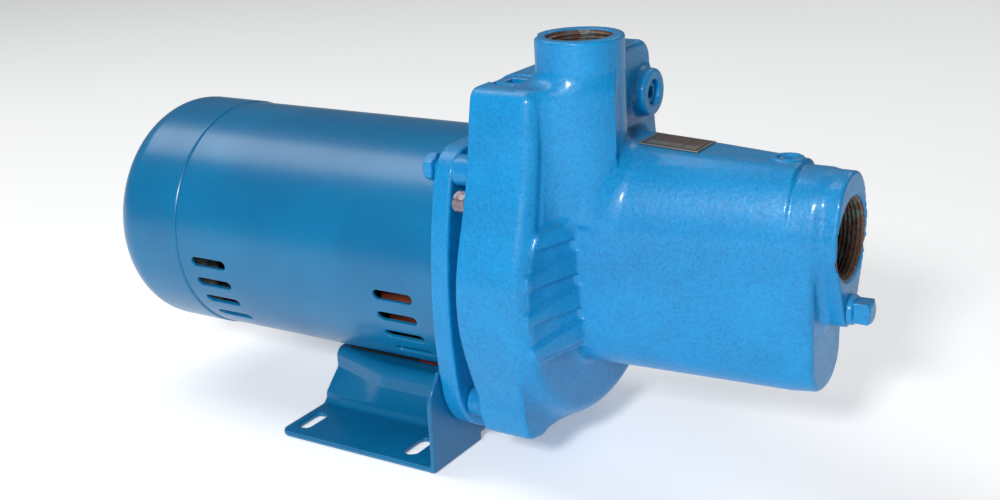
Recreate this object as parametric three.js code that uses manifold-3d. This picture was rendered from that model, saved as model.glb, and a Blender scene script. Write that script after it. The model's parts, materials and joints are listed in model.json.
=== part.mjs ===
// Shallow well jet pump: an electric motor on a bent sheet foot, an adapter plate, and a cast casing that
// holds the volute, the discharge neck and the jet body with its suction port.
// Millimetres. Sizes are written about the shaft axis: X along the shaft towards the suction port, Z up.
// The finished group is lifted so that its origin is the bottom centre of the whole object.

import * as THREE from 'three';
import { ConvexGeometry } from 'three/addons/geometries/ConvexGeometry.js';
import { mergeVertices } from 'three/addons/utils/BufferGeometryUtils.js';
import Module from 'manifold-3d';

const wasm = await Module();
wasm.setup();

// Driving dimensions ---------------------------------------------------------------------------------------

const GAP = 0.3;
const FINENESS = 0.5;

const AXIS_HEIGHT = 108.7;
const REAR_END = -242;
const FRONT_END = 227;

const SHELL = { rear: -184.4, front: 5.6, radius: 72, wall: 2 };
const CAP = { radius: 72.8, wall: 2, corner: 21 };
const CAP_SCREW = { circle: 36, head: 2.4, headRadius: 4.2, radius: 1.9, length: 12 };
const VENT = { length: 27, width: 5.8, angles: [-7.5, -19, -30.5, -43], rearX: -161, frontX: -22.5 };
const TIE = { radius: 65.5, boltRadius: 2.4, count: 4 };
const STACK = { rear: -120, front: -45, bore: 41.5, radius: 69.6, slots: 18 };
const ROTOR_RADIUS = 41;
const SHAFT = { rear: -194, journalRear: 7.5, core: 10, journalFront: 8.5, pumpEnd: 7.9 };
const BEARING_REAR = { x: -183, width: 11, bore: 7.5, outer: 17.5 };
const BEARING_FRONT = { x: -10, width: 12, bore: 8.5, outer: 20 };

const PLATE = { rear: 6, front: 18, top: 76, topHalf: 51, corner: 12.5, side: 81.5, arc: 102 };
const COVER = { rear: 27, front: 36, radius: 78 };
const CASING_BOLTS = [[-57, 65], [57, 65], [-56, -70], [56, -70]];
const CASING_BOLT = { head: 6.4, tip: 52, across: 14.3, radius: 4.6 };
const RIM_SCREW = { y: -69.5, z: 51.5, head: 8.2, tip: 44, across: 11, radius: 3 };
const BASE_BOLTS = [[-24, -88], [24, -88]];

const FOOT = { rear: -108.8, half: 80.8, sheet: 3, waist: 35, crown: 21.5, top: -74.6, kneeX: -65 };
const FOOT_SLOT = { length: 22, width: 8.6, y: 60.5, xs: [-98.8, -20] };

const VOLUTE = { rear: 33, front: 72, radius: 90, frontRadius: 84.5, edge: 8, wall: 6.5 };
const BLOCK = { near: [-59, 105, 7], far: [8, 92, 20] };
const LUG = { rear: 29, front: 63, y: 62, z: -70.7, halfY: 11.5, halfZ: 12.8, corner: 6, reach: 102.5 };
const RIB = { levels: [31.3, 11.5, -8.3, -28.1], thin: 6.3, thick: 12.3, reach: 80, inner: 36, wide: 47 };
const WEB = [[112, 60, 87], [77, 60, 87], [38, 66, 78]].flatMap(([z, rim, crest]) => [
  [60, -rim, z], [VOLUTE.front, -rim, z], [crest, -47.5, z], [crest, -36, z], [60, -36, z],
]);
const NECK = { x: 76.9, y: -26, top: 135.3, radius: 23.6, port: 16.9, bore: 14 };
const TAP = { x: 97, y: 19.7, z: 96.6, radius: 13, port: 8.2 };
const JET = {
  rear: 66, step: 189, front: 203.5, wideAt: 30, flat: 0.345, draft: 5, wall: 6.5,
  halves: [47.6, 28.3, 25.4], tops: [78.1, 71.8, 68], bottoms: [-49.5, -50.5, -49.5], corners: [30, 19, 18],
};
const SUCTION = { x: 215.1, z: 34.75, port: 21.2, bore: 18.5, depth: 22 };
const FRONT_PLUG = { z: -3, thread: 5.2, collar: 8, square: 11 };
const PRIMING = { x: 45.5, y: -39.5, top: 111.6, radius: 10.4, socket: 4.8 };
const VACUUM = { x: 180.5, y: 1.5, top: 73.8, radius: 8, thread: 5.2 };
const CHAMBER = { rear: 133, front: 177, wall: 5, upper: 24, lower: 19 };
const LABEL = { x: 120, y: -1.2, length: 34, width: 22.8, thickness: 0.5 };

// Finishes -------------------------------------------------------------------------------------------------

const finish = (color, roughness, metalness) =>
  new THREE.MeshStandardMaterial({ color, roughness, metalness });
const CAST_BLUE = finish(0x2b9fe0, 0.35, 0.0);
const SHEET_BLUE = finish(0x1f77b0, 0.35, 0.0);
const STEEL = finish(0x9a9da0, 0.35, 1.0);
const ZINC = finish(0xb8bab5, 0.4, 1.0);
const LAMINATION = finish(0x6c7076, 0.5, 1.0);
const COPPER = finish(0x9a4a22, 0.45, 0.6);
const ALUMINIUM = finish(0xc6c8ca, 0.45, 1.0);
const BRASS = finish(0xb5893c, 0.35, 1.0);
const RUBBER = finish(0x151515, 0.8, 0.0);
const BLACK_PLASTIC = finish(0x202224, 0.5, 0.0);
const GREY_PLASTIC = finish(0x2a2c30, 0.45, 0.0);
const CERAMIC = finish(0xe8e4dc, 0.25, 0.0);
const FIBRE = finish(0x7a4a2c, 0.6, 0.0);
const BARE_LABEL = finish(0xa8a6a2, 0.45, 0.3);

// Shape helpers --------------------------------------------------------------------------------------------

/** Closed geometry to a solid with shared vertices and its faces turned outwards. */
function solid(item) {
  if (!(item instanceof THREE.BufferGeometry)) return item;
  item.deleteAttribute('normal');
  item.deleteAttribute('uv');
  const merged = mergeVertices(item, 1e-4);
  const position = merged.getAttribute('position').array;
  const corners = [];
  let volume = 0;
  for (let i = 0; i < merged.index.count; i += 3) {
    const [a, b, c] = [0, 1, 2].map((k) => merged.index.getX(i + k));
    if (a === b || b === c || a === c) continue;
    corners.push(a, b, c);
    const [p, q, r] = [a, b, c].map((k) => new THREE.Vector3().fromArray(position, 3 * k));
    volume += p.dot(q.cross(r));
  }
  if (volume < 0) corners.reverse();
  return new wasm.Manifold(new wasm.Mesh({
    numProp: 3,
    vertProperties: new Float32Array(position),
    triVerts: new Uint32Array(corners),
  }));
}

const join = (first, ...rest) => rest.reduce((sum, item) => sum.add(solid(item)), solid(first));
const cut = (first, ...rest) => rest.reduce((left, item) => left.subtract(solid(item)), solid(first));

/** Facets for a round shape whose full-fineness count is given; small ones keep their count. */
const facets = (count) => (count <= 12 ? count : 4 * Math.round((count * FINENESS) / 4));

/** Solid of revolution about the X axis through y, z, from a profile of [x, radius] points. */
function revolve(profile, segments = 32, y = 0, z = 0) {
  const points = profile.map(([x, r]) => new THREE.Vector2(r, x));
  return new THREE.LatheGeometry(points, facets(segments)).rotateZ(-Math.PI / 2).translate(0, y, z);
}

const disc = (x0, x1, r, segments = 32, y = 0, z = 0) =>
  revolve([[x0, 0], [x0, r], [x1, r], [x1, 0]], segments, y, z);

const ring = (x0, x1, inner, outer, segments = 32, y = 0, z = 0) =>
  revolve([[x0, inner], [x0, outer], [x1, outer], [x1, inner], [x0, inner]], segments, y, z);

/** Upright cylinder at x, y. */
const post = (x, y, z0, z1, r, segments = 32) =>
  new THREE.CylinderGeometry(r, r, z1 - z0, facets(segments))
    .rotateX(Math.PI / 2)
    .translate(x, y, (z0 + z1) / 2);

const block = (x0, x1, y0, y1, z0, z1) =>
  new THREE.BoxGeometry(x1 - x0, y1 - y0, z1 - z0).translate((x0 + x1) / 2, (y0 + y1) / 2, (z0 + z1) / 2);

/** Shape drawn in y, z, given thickness along X. */
function plate(shape, x0, x1, curveSegments = 8) {
  const turn = new THREE.Matrix4().makeBasis(
    new THREE.Vector3(0, 1, 0),
    new THREE.Vector3(0, 0, 1),
    new THREE.Vector3(1, 0, 0),
  );
  const options = { depth: x1 - x0, bevelEnabled: false, curveSegments };
  return new THREE.ExtrudeGeometry(shape, options).applyMatrix4(turn).translate(x0, 0, 0);
}

/** Points of a circle in the plane at x. */
function circle(x, y, z, r, fullCount = 24) {
  const count = facets(fullCount);
  return Array.from({ length: count }, (_, i) => {
    const a = (2 * Math.PI * i) / count;
    return new THREE.Vector3(x, y + r * Math.cos(a), z + r * Math.sin(a));
  });
}

const hull = (...groups) => new ConvexGeometry(groups.flat());

/** Hexagon head or nut along X, size across its flats. */
const hexagon = (x0, x1, across, y, z) => disc(x0, x1, across / Math.sqrt(3), 6, y, z);

/** Hexagon bolt along X with its head at the rear, from x0 to the tip. */
const bolt = (x0, headEnd, tip, across, r, y, z) =>
  join(hexagon(x0, headEnd, across, y, z), disc(headEnd - 1, tip, r, 8, y, z));

/** Flat oblong with round ends, length along x. */
function oblong(length, width) {
  const shape = new THREE.Shape();
  const reach = (length - width) / 2;
  shape.absarc(reach, 0, width / 2, -Math.PI / 2, Math.PI / 2);
  shape.absarc(-reach, 0, width / 2, Math.PI / 2, (3 * Math.PI) / 2);
  return shape;
}

const pump = new THREE.Group();

/** Adds one named piece to the pump. */
function add(name, item, material) {
  const mesh = solid(item).getMesh();
  const geometry = new THREE.BufferGeometry();
  geometry.setAttribute('position', new THREE.BufferAttribute(mesh.vertProperties, 3));
  geometry.setIndex(new THREE.BufferAttribute(mesh.triVerts, 1));
  geometry.computeVertexNormals();
  const piece = new THREE.Mesh(geometry, material);
  piece.name = name;
  pump.add(piece);
}

// Motor: shell, cap and end shield -------------------------------------------------------------------------

/** Radial cutter for one vent slot; side -1 is near, +1 far. */
function ventSlot(x, degrees, side) {
  const options = { depth: 12, bevelEnabled: false, curveSegments: 2 };
  const tilt = side * (THREE.MathUtils.degToRad(degrees) - Math.PI / 2);
  return new THREE.ExtrudeGeometry(oblong(VENT.length, VENT.width), options)
    .translate(0, 0, SHELL.radius - 8)
    .rotateX(tilt)
    .translate(x, 0, 0);
}

const ventSlots = [VENT.rearX, VENT.frontX].flatMap((x) =>
  VENT.angles.flatMap((angle) => [-1, 1].map((side) => ventSlot(x, angle, side))));
const shellTube = ring(SHELL.rear, SHELL.front, SHELL.radius - SHELL.wall, SHELL.radius, 64);
add('motor_shell', cut(shellTube, ...ventSlots), SHEET_BLUE);

/** Half profile of the cap's wall at an inset from its outer face. */
function capLine(inset) {
  const steps = 6;
  const flatRadius = CAP.radius - CAP.corner;
  const arc = Array.from({ length: steps + 1 }, (_, i) => {
    const a = (i / steps) * (Math.PI / 2);
    const r = CAP.corner - inset;
    return [REAR_END + CAP.corner - r * Math.sin(a), flatRadius + r * Math.cos(a)];
  });
  return [[SHELL.rear - GAP, CAP.radius - inset], ...arc, [REAR_END + inset, 0]];
}

const capScrewSpots = [90, 210, 330].map((degrees) => {
  const a = THREE.MathUtils.degToRad(degrees);
  return [CAP_SCREW.circle * Math.cos(a), CAP_SCREW.circle * Math.sin(a)];
});
const CONDUIT = { x: -204, z: -20, radius: 11 };
const capWall = revolve([...capLine(0), ...capLine(CAP.wall).reverse(), capLine(0)[0]], 48);
const conduitHole = new THREE.CylinderGeometry(CONDUIT.radius, CONDUIT.radius, 40, 20)
  .translate(CONDUIT.x, 70, CONDUIT.z);
const capScrewHoles = capScrewSpots.map(([y, z]) => disc(REAR_END - 3, REAR_END + 6, 2.6, 12, y, z));
add('rear_cap', cut(capWall, conduitHole, ...capScrewHoles), SHEET_BLUE);

const grommetProfile = [[-3, 7], [-3, 10.6], [0, 10.6], [0, 13], [4, 13], [4, 7], [-3, 7]];
const grommet = new THREE.LatheGeometry(grommetProfile.map(([h, r]) => new THREE.Vector2(r, h)), 20);
add('conduit_grommet', grommet.translate(CONDUIT.x, 73.2, CONDUIT.z), RUBBER);

const tieSpots = Array.from({ length: TIE.count }, (_, i) => {
  const a = Math.PI / 4 + (i * Math.PI) / 2;
  return [TIE.radius * Math.cos(a), TIE.radius * Math.sin(a)];
});

const SHIELD = { rear: -192, front: -176, radius: 69.6, rim: 60, web: -184, hub: 23 };
const shieldWindows = Array.from({ length: 6 }, (_, i) => {
  const a = (i * Math.PI) / 3 + Math.PI / 2;
  return disc(SHIELD.rear, SHIELD.front, 9, 8, 42 * Math.cos(a), 42 * Math.sin(a));
});
const capPosts = capScrewSpots.map(([y, z]) => disc(REAR_END + 3, SHIELD.web + 2, 4.5, 8, y, z));
const capPostHoles = capScrewSpots.map(([y, z]) => disc(REAR_END, REAR_END + 15, 2.2, 8, y, z));
const pocketRear = BEARING_REAR.x;
const shieldBody = join(
  ring(SHIELD.rear, SHIELD.front, SHIELD.rim, SHIELD.radius, 40),
  ring(SHIELD.web, SHIELD.web + 5, 12, SHIELD.rim + 1, 40),
  ring(SHIELD.rear, pocketRear + BEARING_REAR.width + 1, 12, SHIELD.hub, 32),
  ...capPosts,
);
add('rear_end_shield', cut(
  shieldBody,
  disc(pocketRear - 0.5, -160, BEARING_REAR.outer + GAP, 32),
  ...shieldWindows,
  ...capPostHoles,
  ...tieSpots.map(([y, z]) => disc(SHIELD.rear - 5, SHIELD.front + 5, TIE.boltRadius + GAP, 8, y, z)),
), ALUMINIUM);

capScrewSpots.forEach(([y, z], i) => {
  const head = disc(REAR_END - CAP_SCREW.head, REAR_END - GAP, CAP_SCREW.headRadius, 16, y, z);
  const shank = disc(REAR_END - 1, REAR_END + CAP_SCREW.length, CAP_SCREW.radius, 10, y, z);
  add(`cap_screw_${i + 1}`, join(head, shank), ZINC);
});

// Motor: stator and windings -------------------------------------------------------------------------------

const slotAngles = Array.from({ length: STACK.slots }, (_, i) => (2 * Math.PI * i) / STACK.slots);

/** Bar in one stator slot, fatter by the clearance when it is used as a cutter. */
const slotBar = (angle, x0, x1, clearance) =>
  new THREE.BoxGeometry(x1 - x0, 11 + 2 * clearance, 5 + 2 * clearance)
    .translate((x0 + x1) / 2, 52, 0)
    .rotateX(angle + Math.PI / STACK.slots);

add('stator_core', cut(
  ring(STACK.rear, STACK.front, STACK.bore, STACK.radius, 48),
  ...slotAngles.map((a) => slotBar(a, STACK.rear - 1, STACK.front + 1, GAP)),
  ...tieSpots.map(([y, z]) => disc(STACK.rear - 1, STACK.front + 1, 3.8, 8, y * 1.01, z * 1.01)),
), LAMINATION);

/** Rounded end turn of the winding between two stations. */
const endTurn = (x0, x1) => revolve([
  [x0, 46], [x0, 58], [x0 + 5, 61], [x1 - 5, 61], [x1, 58], [x1, 46], [x0, 46],
], 40);
add('stator_winding', join(
  endTurn(STACK.rear - 24, STACK.rear - GAP),
  endTurn(STACK.front + GAP, STACK.front + 24),
  ...slotAngles.map((a) => slotBar(a, STACK.rear - 2, STACK.front + 2, 0)),
), COPPER);

tieSpots.forEach(([y, z], i) => {
  add(`through_bolt_${i + 1}`, bolt(SHIELD.rear - 4.3, SHIELD.rear - GAP, 2, 7, TIE.boltRadius, y, z), ZINC);
});

// Motor: rotor body ----------------------------------------------------------------------------------------

add('rotor_core', ring(STACK.rear, STACK.front, SHAFT.core + GAP, ROTOR_RADIUS, 40), LAMINATION);

/** Cast end ring with fan fingers that stand away from the stack. */
function endRing(x0, x1, fingerEnd) {
  const fingers = Array.from({ length: 8 }, (_, i) =>
    block(Math.min(x0, fingerEnd), Math.max(x1, fingerEnd), 27, 37, -1.5, 1.5).rotateX((i * Math.PI) / 4));
  return join(ring(x0, x1, 24, 39.5, 32), ...fingers);
}

add('rotor_ring_rear', endRing(STACK.rear - 8, STACK.rear - GAP, STACK.rear - 14), ALUMINIUM);
add('rotor_ring_front', endRing(STACK.front + GAP, STACK.front + 8, STACK.front + 16), ALUMINIUM);

const IMPELLER = { rear: 40, front: 50.5, radius: 56, eye: 13, hub: 12 };
add('motor_shaft', revolve([
  [SHAFT.rear, 0], [SHAFT.rear, 6.5], [SHAFT.rear + 1, SHAFT.journalRear], [-170, SHAFT.journalRear],
  [-170, SHAFT.core], [-11, SHAFT.core], [-11, SHAFT.journalFront], [3, SHAFT.journalFront],
  [3, SHAFT.pumpEnd], [IMPELLER.rear, SHAFT.pumpEnd], [IMPELLER.rear, 5.5], [51, 5.5], [52, 4.6], [52, 0],
], 24), STEEL);

/** Outer ring of a shielded ball bearing: a channel that is open towards the shaft. */
function bearingOuter({ x, width, bore, outer }) {
  const land = outer - 2.5;
  const lip = bore + 3.4;
  return revolve([
    [x, lip], [x, outer], [x + width, outer], [x + width, lip], [x + width - 1, lip],
    [x + width - 1, land], [x + 1, land], [x + 1, lip], [x, lip],
  ], 32);
}

for (const [end, bearing] of [['rear', BEARING_REAR], ['front', BEARING_FRONT]]) {
  add(`${end}_bearing_outer_ring`, bearingOuter(bearing), STEEL);
  const inner = ring(bearing.x, bearing.x + bearing.width, bearing.bore + GAP, bearing.bore + 3, 24);
  add(`${end}_bearing_inner_ring`, inner, STEEL);
}

// Centrifugal governor: a plate fixed to the shaft, two hinged weights and a collar that they draw along.
const GOVERNOR = { plate: -140, collar: -163, pivotX: -145, pivotR: 22 };
add('governor_plate', join(
  ring(GOVERNOR.plate, GOVERNOR.plate + 2.5, SHAFT.core + GAP, 28, 28),
  ...[-1, 1].flatMap((side) => [-1, 1].map((ear) =>
    block(GOVERNOR.pivotX - 4, GOVERNOR.plate + 1, ear * 7 - 1, ear * 7 + 1,
      side * GOVERNOR.pivotR - 4, side * GOVERNOR.pivotR + 4))),
), ZINC);
add('governor_collar', revolve([
  [GOVERNOR.collar, SHAFT.core + GAP], [GOVERNOR.collar, 19], [GOVERNOR.collar + 3, 19],
  [GOVERNOR.collar + 3, 14], [GOVERNOR.collar + 12, 14], [GOVERNOR.collar + 12, SHAFT.core + GAP],
  [GOVERNOR.collar, SHAFT.core + GAP],
], 28), BLACK_PLASTIC);
[-1, 1].forEach((side, i) => {
  const z = side * GOVERNOR.pivotR;
  const below = side > 0 ? z - 2 : z - 9;
  const weight = join(
    block(GOVERNOR.pivotX - 3, GOVERNOR.pivotX + 3, -5.5, 5.5, z - 3, z + 3),
    block(GOVERNOR.pivotX - 10, GOVERNOR.pivotX - 2, -5.5, 5.5, below, below + 11),
  );
  add(`governor_weight_${i + 1}`, weight, STEEL);
});

// Motor: electrical pieces under the rear cap --------------------------------------------------------------

add('start_switch', join(
  block(-174.5, -171.5, -16, 16, 26, 52),
  block(-172, -168, -7, 7, 28, 38),
  block(-176, -174, -12, -8, 40, 48),
  block(-176, -174, 8, 12, 40, 48),
), FIBRE);

const CAPACITOR = { x: -214, z: 30, radius: 17.5, half: 42 };
const capacitorBody = new THREE.CylinderGeometry(CAPACITOR.radius, CAPACITOR.radius, 2 * CAPACITOR.half, 28)
  .translate(CAPACITOR.x, 0, CAPACITOR.z);
const capacitorTabs = [CAPACITOR.x - 6, CAPACITOR.x + 3].map((x) =>
  block(x, x + 3, CAPACITOR.half - 1, CAPACITOR.half + 7, CAPACITOR.z - 3, CAPACITOR.z + 3));
add('capacitor', cut(
  join(capacitorBody, ...capacitorTabs),
  disc(REAR_END, SHIELD.web, 5.2, 16, ...capScrewSpots[0]),
), BLACK_PLASTIC);

const clipBand = [[-7, 17.9], [7, 17.9], [7, 19.3], [-7, 19.3], [-7, 17.9]];
const clipRing = new THREE.LatheGeometry(clipBand.map(([h, r]) => new THREE.Vector2(r, h)), 28)
  .translate(CAPACITOR.x, 22, CAPACITOR.z);
add('capacitor_clip', join(
  clipRing,
  block(CAPACITOR.x + 18.5, SHIELD.web - GAP, 15, 29, CAPACITOR.z - 1, CAPACITOR.z + 1),
), ZINC);

const TAB_OFFSETS = [-18, -6, 6, 18];
add('terminal_board', join(
  block(-200, -197, -26, 26, -56, -34),
  block(-197.5, SHIELD.web - GAP, -22, -16, -54, -48),
  block(-197.5, SHIELD.web - GAP, 16, 22, -54, -48),
  ...TAB_OFFSETS.map((y) => block(-208, -199, y - 3, y + 3, -46, -45)),
), FIBRE);
add('overload_protector', join(
  disc(-202, SHIELD.web - GAP, 11, 24, -47, -1),
  block(-208, -201, -50, -44, -1.5, -0.5),
), BLACK_PLASTIC);

// Adapter plate --------------------------------------------------------------------------------------------

/** Outline of the plate: flat top, bulging sides, and a bottom that is an arc about the shaft. */
function plateOutline() {
  const shape = new THREE.Shape();
  const sideTop = PLATE.topHalf + PLATE.corner;
  const foot = [69, -67];
  const arcStart = Math.atan2(-86, 55);
  shape.moveTo(-PLATE.topHalf, PLATE.top);
  shape.lineTo(PLATE.topHalf, PLATE.top);
  shape.absarc(PLATE.topHalf, PLATE.top - PLATE.corner, PLATE.corner, Math.PI / 2, 0, true);
  shape.quadraticCurveTo(PLATE.side, 0, foot[0], foot[1]);
  shape.quadraticCurveTo(67, -77, PLATE.arc * Math.cos(arcStart), PLATE.arc * Math.sin(arcStart));
  shape.absarc(0, 0, PLATE.arc, arcStart, -Math.PI - arcStart, true);
  shape.quadraticCurveTo(-67, -77, -foot[0], foot[1]);
  shape.quadraticCurveTo(-PLATE.side, 0, -sideTop, PLATE.top - PLATE.corner);
  shape.absarc(-PLATE.topHalf, PLATE.top - PLATE.corner, PLATE.corner, Math.PI, Math.PI / 2, true);
  return shape;
}

const adapterBody = join(
  plate(plateOutline(), PLATE.rear, PLATE.front, 6),
  ring(-6, PLATE.rear + 1, 60, 69.6, 40),
  ring(-12, PLATE.rear + 1, 12, 27, 32),
  ring(PLATE.front - 1, COVER.rear + 1, 20, 48, 32),
  ring(COVER.rear, COVER.front, 20, COVER.radius, 48),
);
add('adapter_plate', cut(
  adapterBody,
  disc(-20, PLATE.rear - 3.5, BEARING_FRONT.outer + GAP, 32),
  disc(-1, 60, 10.5, 24),
  disc(24, 60, 16.6, 28),
  ring(29.2, 32.8, 75, 80, 48),
  ...tieSpots.map(([y, z]) => disc(-20, 3, TIE.boltRadius + GAP, 8, y, z)),
  ...BASE_BOLTS.map(([y, z]) => disc(PLATE.rear - 1, PLATE.front + 1, 4.3, 12, y, z)),
  ...CASING_BOLTS.map(([y, z]) => disc(PLATE.rear - 1, PLATE.front + 1, 5.3, 12, y, z)),
), CAST_BLUE);

// Base foot, pad and its bolts -----------------------------------------------------------------------------

/** Saddle of the foot at an inset from its outer skin: full width at the front, pinched at the rear. */
function saddle(inset, rear) {
  const { waist, crown, top, kneeX } = FOOT;
  const front = SHELL.front + 2;
  const floor = -AXIS_HEIGHT - inset;
  const pair = (x, y, z) => [-1, 1].map((side) => new THREE.Vector3(x, side * (y - inset), z));
  const lower = hull(
    pair(rear, waist, floor), pair(rear, waist - 1, -99.5), pair(rear, crown + 0.5, -87),
    pair(kneeX, waist, floor), pair(kneeX, waist, -87), pair(front, waist, floor), pair(front, waist, -87),
  );
  const upper = hull(
    pair(rear, crown + 0.5, -87.01), pair(rear, crown, top - inset), pair(kneeX, waist, -87.01),
    pair(kneeX, waist - 3, top - inset), pair(front, waist, -87.01), pair(front, waist - 3, top - inset),
  );
  return join(lower, upper);
}

const flangeShape = new THREE.Shape([
  [-FOOT.half, -AXIS_HEIGHT], [FOOT.half, -AXIS_HEIGHT], [FOOT.half, -63],
  [70, -50], [-70, -50], [-FOOT.half, -63],
].map(([y, z]) => new THREE.Vector2(y, z)));
const flangeFront = PLATE.rear - GAP;
const flangeRear = flangeFront - FOOT.sheet;

/** Cutter for one floor slot; its length runs across the foot. */
function floorSlot(x, side) {
  const options = { depth: 12, bevelEnabled: false, curveSegments: 5 };
  return new THREE.ExtrudeGeometry(oblong(FOOT_SLOT.length, FOOT_SLOT.width), options)
    .rotateZ(Math.PI / 2)
    .translate(x, side * FOOT_SLOT.y, -AXIS_HEIGHT - 6);
}

const footBody = cut(
  join(
    block(FOOT.rear, flangeFront, -FOOT.half, FOOT.half, -AXIS_HEIGHT, -AXIS_HEIGHT + FOOT.sheet),
    plate(flangeShape, flangeRear, flangeFront),
    saddle(0, FOOT.rear).subtract(solid(block(flangeFront, 40, -90, 90, -120, 0))),
  ),
  saddle(FOOT.sheet, FOOT.rear - 5).subtract(solid(block(flangeRear, 40, -90, 90, -130, 0))),
  disc(-5, 20, SHELL.radius + 0.6, 64),
);
add('base_foot', cut(
  footBody,
  ...FOOT_SLOT.xs.flatMap((x) => [-1, 1].map((side) => floorSlot(x, side))),
  ...BASE_BOLTS.map(([y, z]) => disc(-10, 20, 4.3, 12, y, z)),
  ...CASING_BOLTS.slice(2).map(([y, z]) => disc(-10, 20, 5.3, 12, y, z)),
), SHEET_BLUE);

add('motor_pad', block(-104, flangeRear - 4, -18, 18, FOOT.top + GAP, -SHELL.radius - GAP), RUBBER);

BASE_BOLTS.forEach(([y, z], i) => {
  add(`base_bolt_${i + 1}`, bolt(flangeRear - 6.3, flangeRear - GAP, PLATE.front - 1, 12.7, 4, y, z), ZINC);
});

// Casing ---------------------------------------------------------------------------------------------------

/** Volute slice at x: the drum's circle and the two upper corners of its block, all drawn in by an inset. */
function voluteSlice(x, radius, inset) {
  const corners = [BLOCK.near, BLOCK.far].map(([y, z, r]) => {
    const left = Math.max(r - inset, 0.5);
    const pull = Math.max(inset - r + 0.5, 0);
    return circle(x, y, z - pull, left, 16);
  });
  return [circle(x, 0, 0, radius - inset, 48), ...corners].flat();
}

/** Jet body section at x: an egg, widest at one level, with a flat top and round lower corners. */
function jetSection(x, half, top, bottom, lower) {
  const steps = 6;
  const reach = Math.sqrt(1 - JET.flat ** 2);
  const shoulders = [-1, 1].flatMap((side) => Array.from({ length: steps + 1 }, (_, i) => {
    const share = i / steps;
    const y = side * half * Math.sqrt(1 - (reach * share) ** 2);
    return new THREE.Vector3(x, y, JET.wideAt + (top - JET.wideAt) * share);
  }));
  const belly = [-1, 1].flatMap((side) =>
    circle(x, side * (half - lower - JET.draft), bottom + lower, lower, 16));
  return [...shoulders, ...belly];
}

/** Section at one of the body's three stations: its root, its step and its front face. */
function jetStation(index, x, inset) {
  const corner = JET.corners[index] - inset;
  return jetSection(x, JET.halves[index] - inset, JET.tops[index] - inset, JET.bottoms[index] + inset, corner);
}

/** Outline of the suction neck at x: a round top drawn out to a small lobe that holds the plug. */
const teardrop = (x, inset) => [
  circle(x, 0, 49, 20.5 - inset, 24),
  circle(x, 0, 36, 24.3 - inset, 32),
  circle(x, 0, FRONT_PLUG.z, 9.6 - inset, 20),
].flat();

const voluteOuter = hull(
  voluteSlice(VOLUTE.rear, VOLUTE.radius, 0),
  voluteSlice(VOLUTE.front - VOLUTE.edge, VOLUTE.frontRadius + 0.5, 0),
  voluteSlice(VOLUTE.front - 2.4, VOLUTE.frontRadius, 2.4),
  voluteSlice(VOLUTE.front, VOLUTE.frontRadius, VOLUTE.edge),
);
const jetOuter = join(
  hull(jetStation(0, JET.rear, 0), jetStation(1, JET.step, 0)),
  hull(jetStation(1, JET.step, 0), jetStation(2, JET.front - 2.5, 0), jetStation(2, JET.front, 2.5)),
);
const neckOuter = post(NECK.x, NECK.y, 40, NECK.top, NECK.radius, 40);
const suctionOuter = hull(teardrop(JET.step + 2, 0), teardrop(SUCTION.x - 1.5, 0), teardrop(SUCTION.x, 1.2));
const tapPad = hull([66, 90].flatMap((x) => [
  circle(x, 18, 113, 12, 16),
  circle(x, -8, 113, 12, 16),
  [new THREE.Vector3(x, 38, 66), new THREE.Vector3(x, 40, 50), new THREE.Vector3(x, -10, 50)],
].flat()));
const tapBoss = ring(88, TAP.x, TAP.port, TAP.radius, 28, TAP.y, TAP.z);

/** Bolt lug low on one side of the drum. */
function lug(side) {
  const { corner, front, rear } = LUG;
  const slice = (x, inset) => [-1, 1].flatMap((v) => [-1, 1].map((w) => circle(
    x, side * LUG.y + v * (LUG.halfY - corner), LUG.z + w * (LUG.halfZ - corner), corner - inset, 16)).flat());
  return solid(hull(slice(rear, 0), slice(front - 3, 0), slice(front, 3)))
    .intersect(solid(disc(rear - 1, front + 1, LUG.reach, 96)));
}

/** Gusset rib between the drum's front face and the jet body: level below, rising towards the body above. */
function rib(side, level) {
  const at = (x, y, z) => new THREE.Vector3(x, side * y, z);
  const thin = level + RIB.thin;
  const thick = level + RIB.thick;
  const outer = Math.sqrt(RIB.reach ** 2 - (level + RIB.thin / 2) ** 2);
  const root = VOLUTE.front - 2;
  const crest = VOLUTE.front + 10;
  return hull([
    at(root, outer, level), at(root, outer, thin), at(root, RIB.inner, level), at(root, RIB.inner, thick),
    at(root + 2.6, outer, level), at(root + 2.6, outer, thin),
    at(crest, RIB.wide, level), at(crest, RIB.wide, thick),
    at(crest, RIB.inner, level), at(crest, RIB.inner, thick),
  ]);
}

/** Web that fills the corner between the block's near front edge and the neck's root. */
const web = hull(WEB.map(([x, y, z]) => new THREE.Vector3(x, y, z)));

const vacuumBoss = post(VACUUM.x, VACUUM.y, 60, VACUUM.top, VACUUM.radius, 24);
const casingBosses = CASING_BOLTS.slice(0, 2).map(([y, z]) => disc(PLATE.front + GAP, 40, 8.5, 20, y, z));
const lowerBosses = CASING_BOLTS.slice(2).map(([y, z]) => disc(PLATE.front + GAP, 34, 8.5, 20, y, z));

const casingOuter = join(
  voluteOuter, web, jetOuter, neckOuter, suctionOuter, tapPad, tapBoss, vacuumBoss,
  lug(-1), lug(1), ...casingBosses, ...lowerBosses,
  ...RIB.levels.flatMap((level) => [rib(-1, level), rib(1, level)]),
);

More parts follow.
